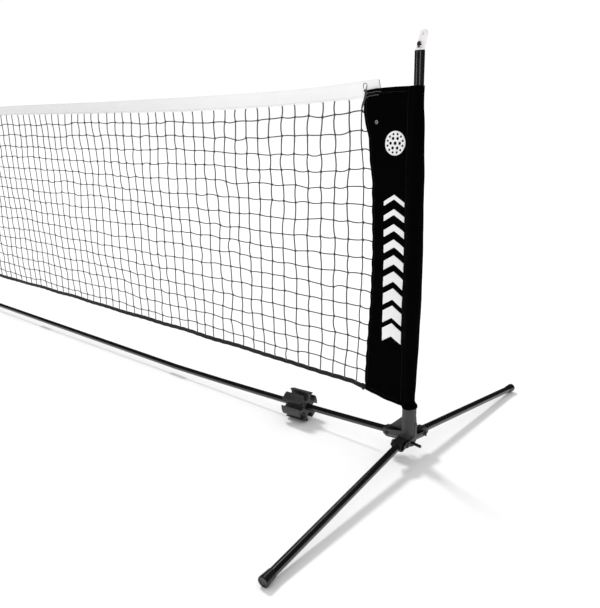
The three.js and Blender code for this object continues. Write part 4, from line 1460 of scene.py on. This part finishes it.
def corner_wrap():
    """Three wraps of cord round the binding's end, with a knot."""
    t = np.linspace(0, 3 * math.tau, 90)
    wrap = np.stack([1682 + t * 0.32, 3.4 * np.cos(t),
                     float(bottom_z(1683)) + 8.6 * np.sin(t)], 1)
    knot_at = Matrix.Translation((1685, -5.0, float(bottom_z(1685)) + 1)) @ STAND
    return sweep(wrap, 1.05, 8).join(trefoil(3.2, 1.15, knot_at))


SLEEVE, GRAPHIC = sleeve(), sleeve_graphic()
for side, tag in ((1, "R"), (-1, "L")):
    mirror = None if side > 0 else Matrix.Scale(-1, 4, (1, 0, 0))
    # name, shape, material, slot, replaced node
    for name, geo, material, slot, node in (
            ("sleeve_cloth", SLEEVE, "sleeve", "sleeve", "side_sleeve"),
            ("sleeve_graphic", GRAPHIC, "print", "headband", None),
            ("sleeve_stitching", sleeve_stitching(), "thread", "sleeve", None),
            ("sleeve_bartack", bartack(), "pale", "cord", None),
            ("sleeve_grommet", grommet(), "grommet", "steel", "sleeve_eyelet"),
            ("end_lacing", end_lacing(side), "net", "cord", "edge_cord"),
            ("corner_loop_top", corner_loop(), "tie", "cord", "corner_tie_top"),
            ("corner_wrap_bottom", corner_wrap(), "cord", "cord", "corner_tie_bottom")):
        make(f"{name}_{tag}", geo.placed(mirror), material, "net",
             node and f"{node}_{tag}")

# CAD nodes that keep their own shape
for name, ob in frame["nodes"].items():
    finish = ("steel" if name.startswith("bar_ferrule")
              else "cord" if name == "bar_shock_cord" else None)
    if finish:
        ob.data.materials.clear()
        ob.data.materials.append(MATS[finish])


# ----------------------------------------------------------------------- stage
def studio_floor(z=-0.0005, half=30.0):
    k = new_material("pale_floor")
    spot = k.noise(k.coord(), scale=1.6)
    k.out(Base_Color=k.mix(k.remap(spot), grey(0.885), grey(0.905)), Roughness=0.95,
          Specular_IOR_Level=0.0)
    me = bpy.data.meshes.new("studio_floor")
    me.from_pydata([(x, y, z) for x, y in rect(-half, -half, half, half)], [], [[0, 1, 2, 3]])
    ob = bpy.data.objects.new("studio_floor", me)
    bpy.context.scene.collection.objects.link(ob)
    me.materials.append(k.owner)


def studio_world():
    """White to the camera, softer as light, and nearly black in reflections."""
    world = bpy.data.worlds.new("studio")
    bpy.context.scene.world = world
    k = Nodes(world, "Background")
    ray = k.node("ShaderNodeLightPath").outputs
    soft = k.mix(ray["Is Glossy Ray"], (0.82, 0.82, 0.822, 1), (0.03, 0.03, 0.031, 1))
    k.out(Color=k.mix(ray["Is Camera Ray"], soft, (1.03, 1.03, 1.03, 1)), Strength=1.0)


def link_set(name, prefixes, exclude=False):
    """Collection, for light linking, of the meshes whose names start with a prefix."""
    collection = bpy.data.collections.new(name)
    for ob in bpy.context.scene.objects:
        if ob.type == "MESH" and ob.name.startswith(tuple(prefixes)):
            collection.objects.link(ob)
    if exclude:
        for item in collection.collection_objects:
            item.light_linking.link_state = "EXCLUDE"
    return collection


def aim(direction):
    return Vector(direction).to_track_quat("-Z", "Y").to_euler()


def area_light(name, place, target, width, height, power, only, diffuse=False):
    lamp = bpy.data.lights.new(name, "AREA")
    lamp.shape = "RECTANGLE"
    lamp.size = width
    lamp.size_y = height
    lamp.energy = power
    ob = bpy.data.objects.new(name, lamp)
    ob.location = place
    ob.rotation_euler = aim(Vector(target) - Vector(place))
    ob.visible_diffuse = diffuse
    ob.light_linking.receiver_collection = link_set(name + "_set", only)
    bpy.context.scene.collection.objects.link(ob)


def soft_sun():
    lamp = bpy.data.lights.new("soft_key", "SUN")
    lamp.energy = 1.8
    lamp.angle = math.radians(11)
    ob = bpy.data.objects.new("soft_key", lamp)
    ob.rotation_euler = aim((0.8, -0.3, -1.0))
    ob.visible_glossy = False
    # the net and the bar cast no shadow from it
    ob.light_linking.blocker_collection = link_set(
        "soft_key_blockers", ["net_", "headband", "sleeve_", "bottom_binding", "bar_pipe",
                              "end_lacing", "corner_"], exclude=True)
    bpy.context.scene.collection.objects.link(ob)


def add_camera():
    camera = bpy.data.cameras.new("camera")
    camera.sensor_width = 36.0
    camera.sensor_fit = "AUTO"
    camera.lens = 36.7401316
    camera.shift_x = -0.00148026316
    camera.shift_y = 0.0606907895
    camera.clip_end = 60
    ob = bpy.data.objects.new("camera", camera)
    right = Vector((0.76923383, 0.63892534, -0.00733011))
    down = Vector((0.20118563, -0.25307378, -0.946297))
    forward = Vector((-0.60646818, 0.72644895, -0.32321551))
    place = (2.54114198, -1.28443758, 0.81656907)
    ob.matrix_world = basis(right, -down, -forward, place)
    bpy.context.scene.collection.objects.link(ob)
    bpy.context.scene.camera = ob


studio_floor()
studio_world()
# strips that only show in the gloss of the tubes, and a fill for the white pieces
area_light("strip_left", place=(-0.3, -2.6, 1.3), target=(1.7, 0, 0.5), width=0.5, height=2.4,
           power=14, only=["post_pipe_"])
area_light("strip_right", place=(3.6, -1.9, 1.5), target=(1.7, 0, 0.5), width=0.5, height=2.4,
           power=12, only=["post_pipe_"])
area_light("strip_top", place=(0.6, 1.2, 3.0), target=(1.7, 0, 0.2), width=0.6, height=2.4,
           power=16, only=["leg_pipe_", "leg_boot_"])
area_light("front_fill", place=(1.2, -4.0, 1.6), target=(1.2, 0, 0.9), width=3.0, height=3.0,
           power=13, diffuse=True,
           only=["headband_tape", "headband_stitching", "sleeve_graphic_", "post_end_cap_"])
soft_sun()
add_camera()
scene = bpy.context.scene
scene.view_settings.view_transform = "Standard"
scene.view_settings.look = "None"
scene.cycles.use_denoising = True

bpy.context.view_layer.update()
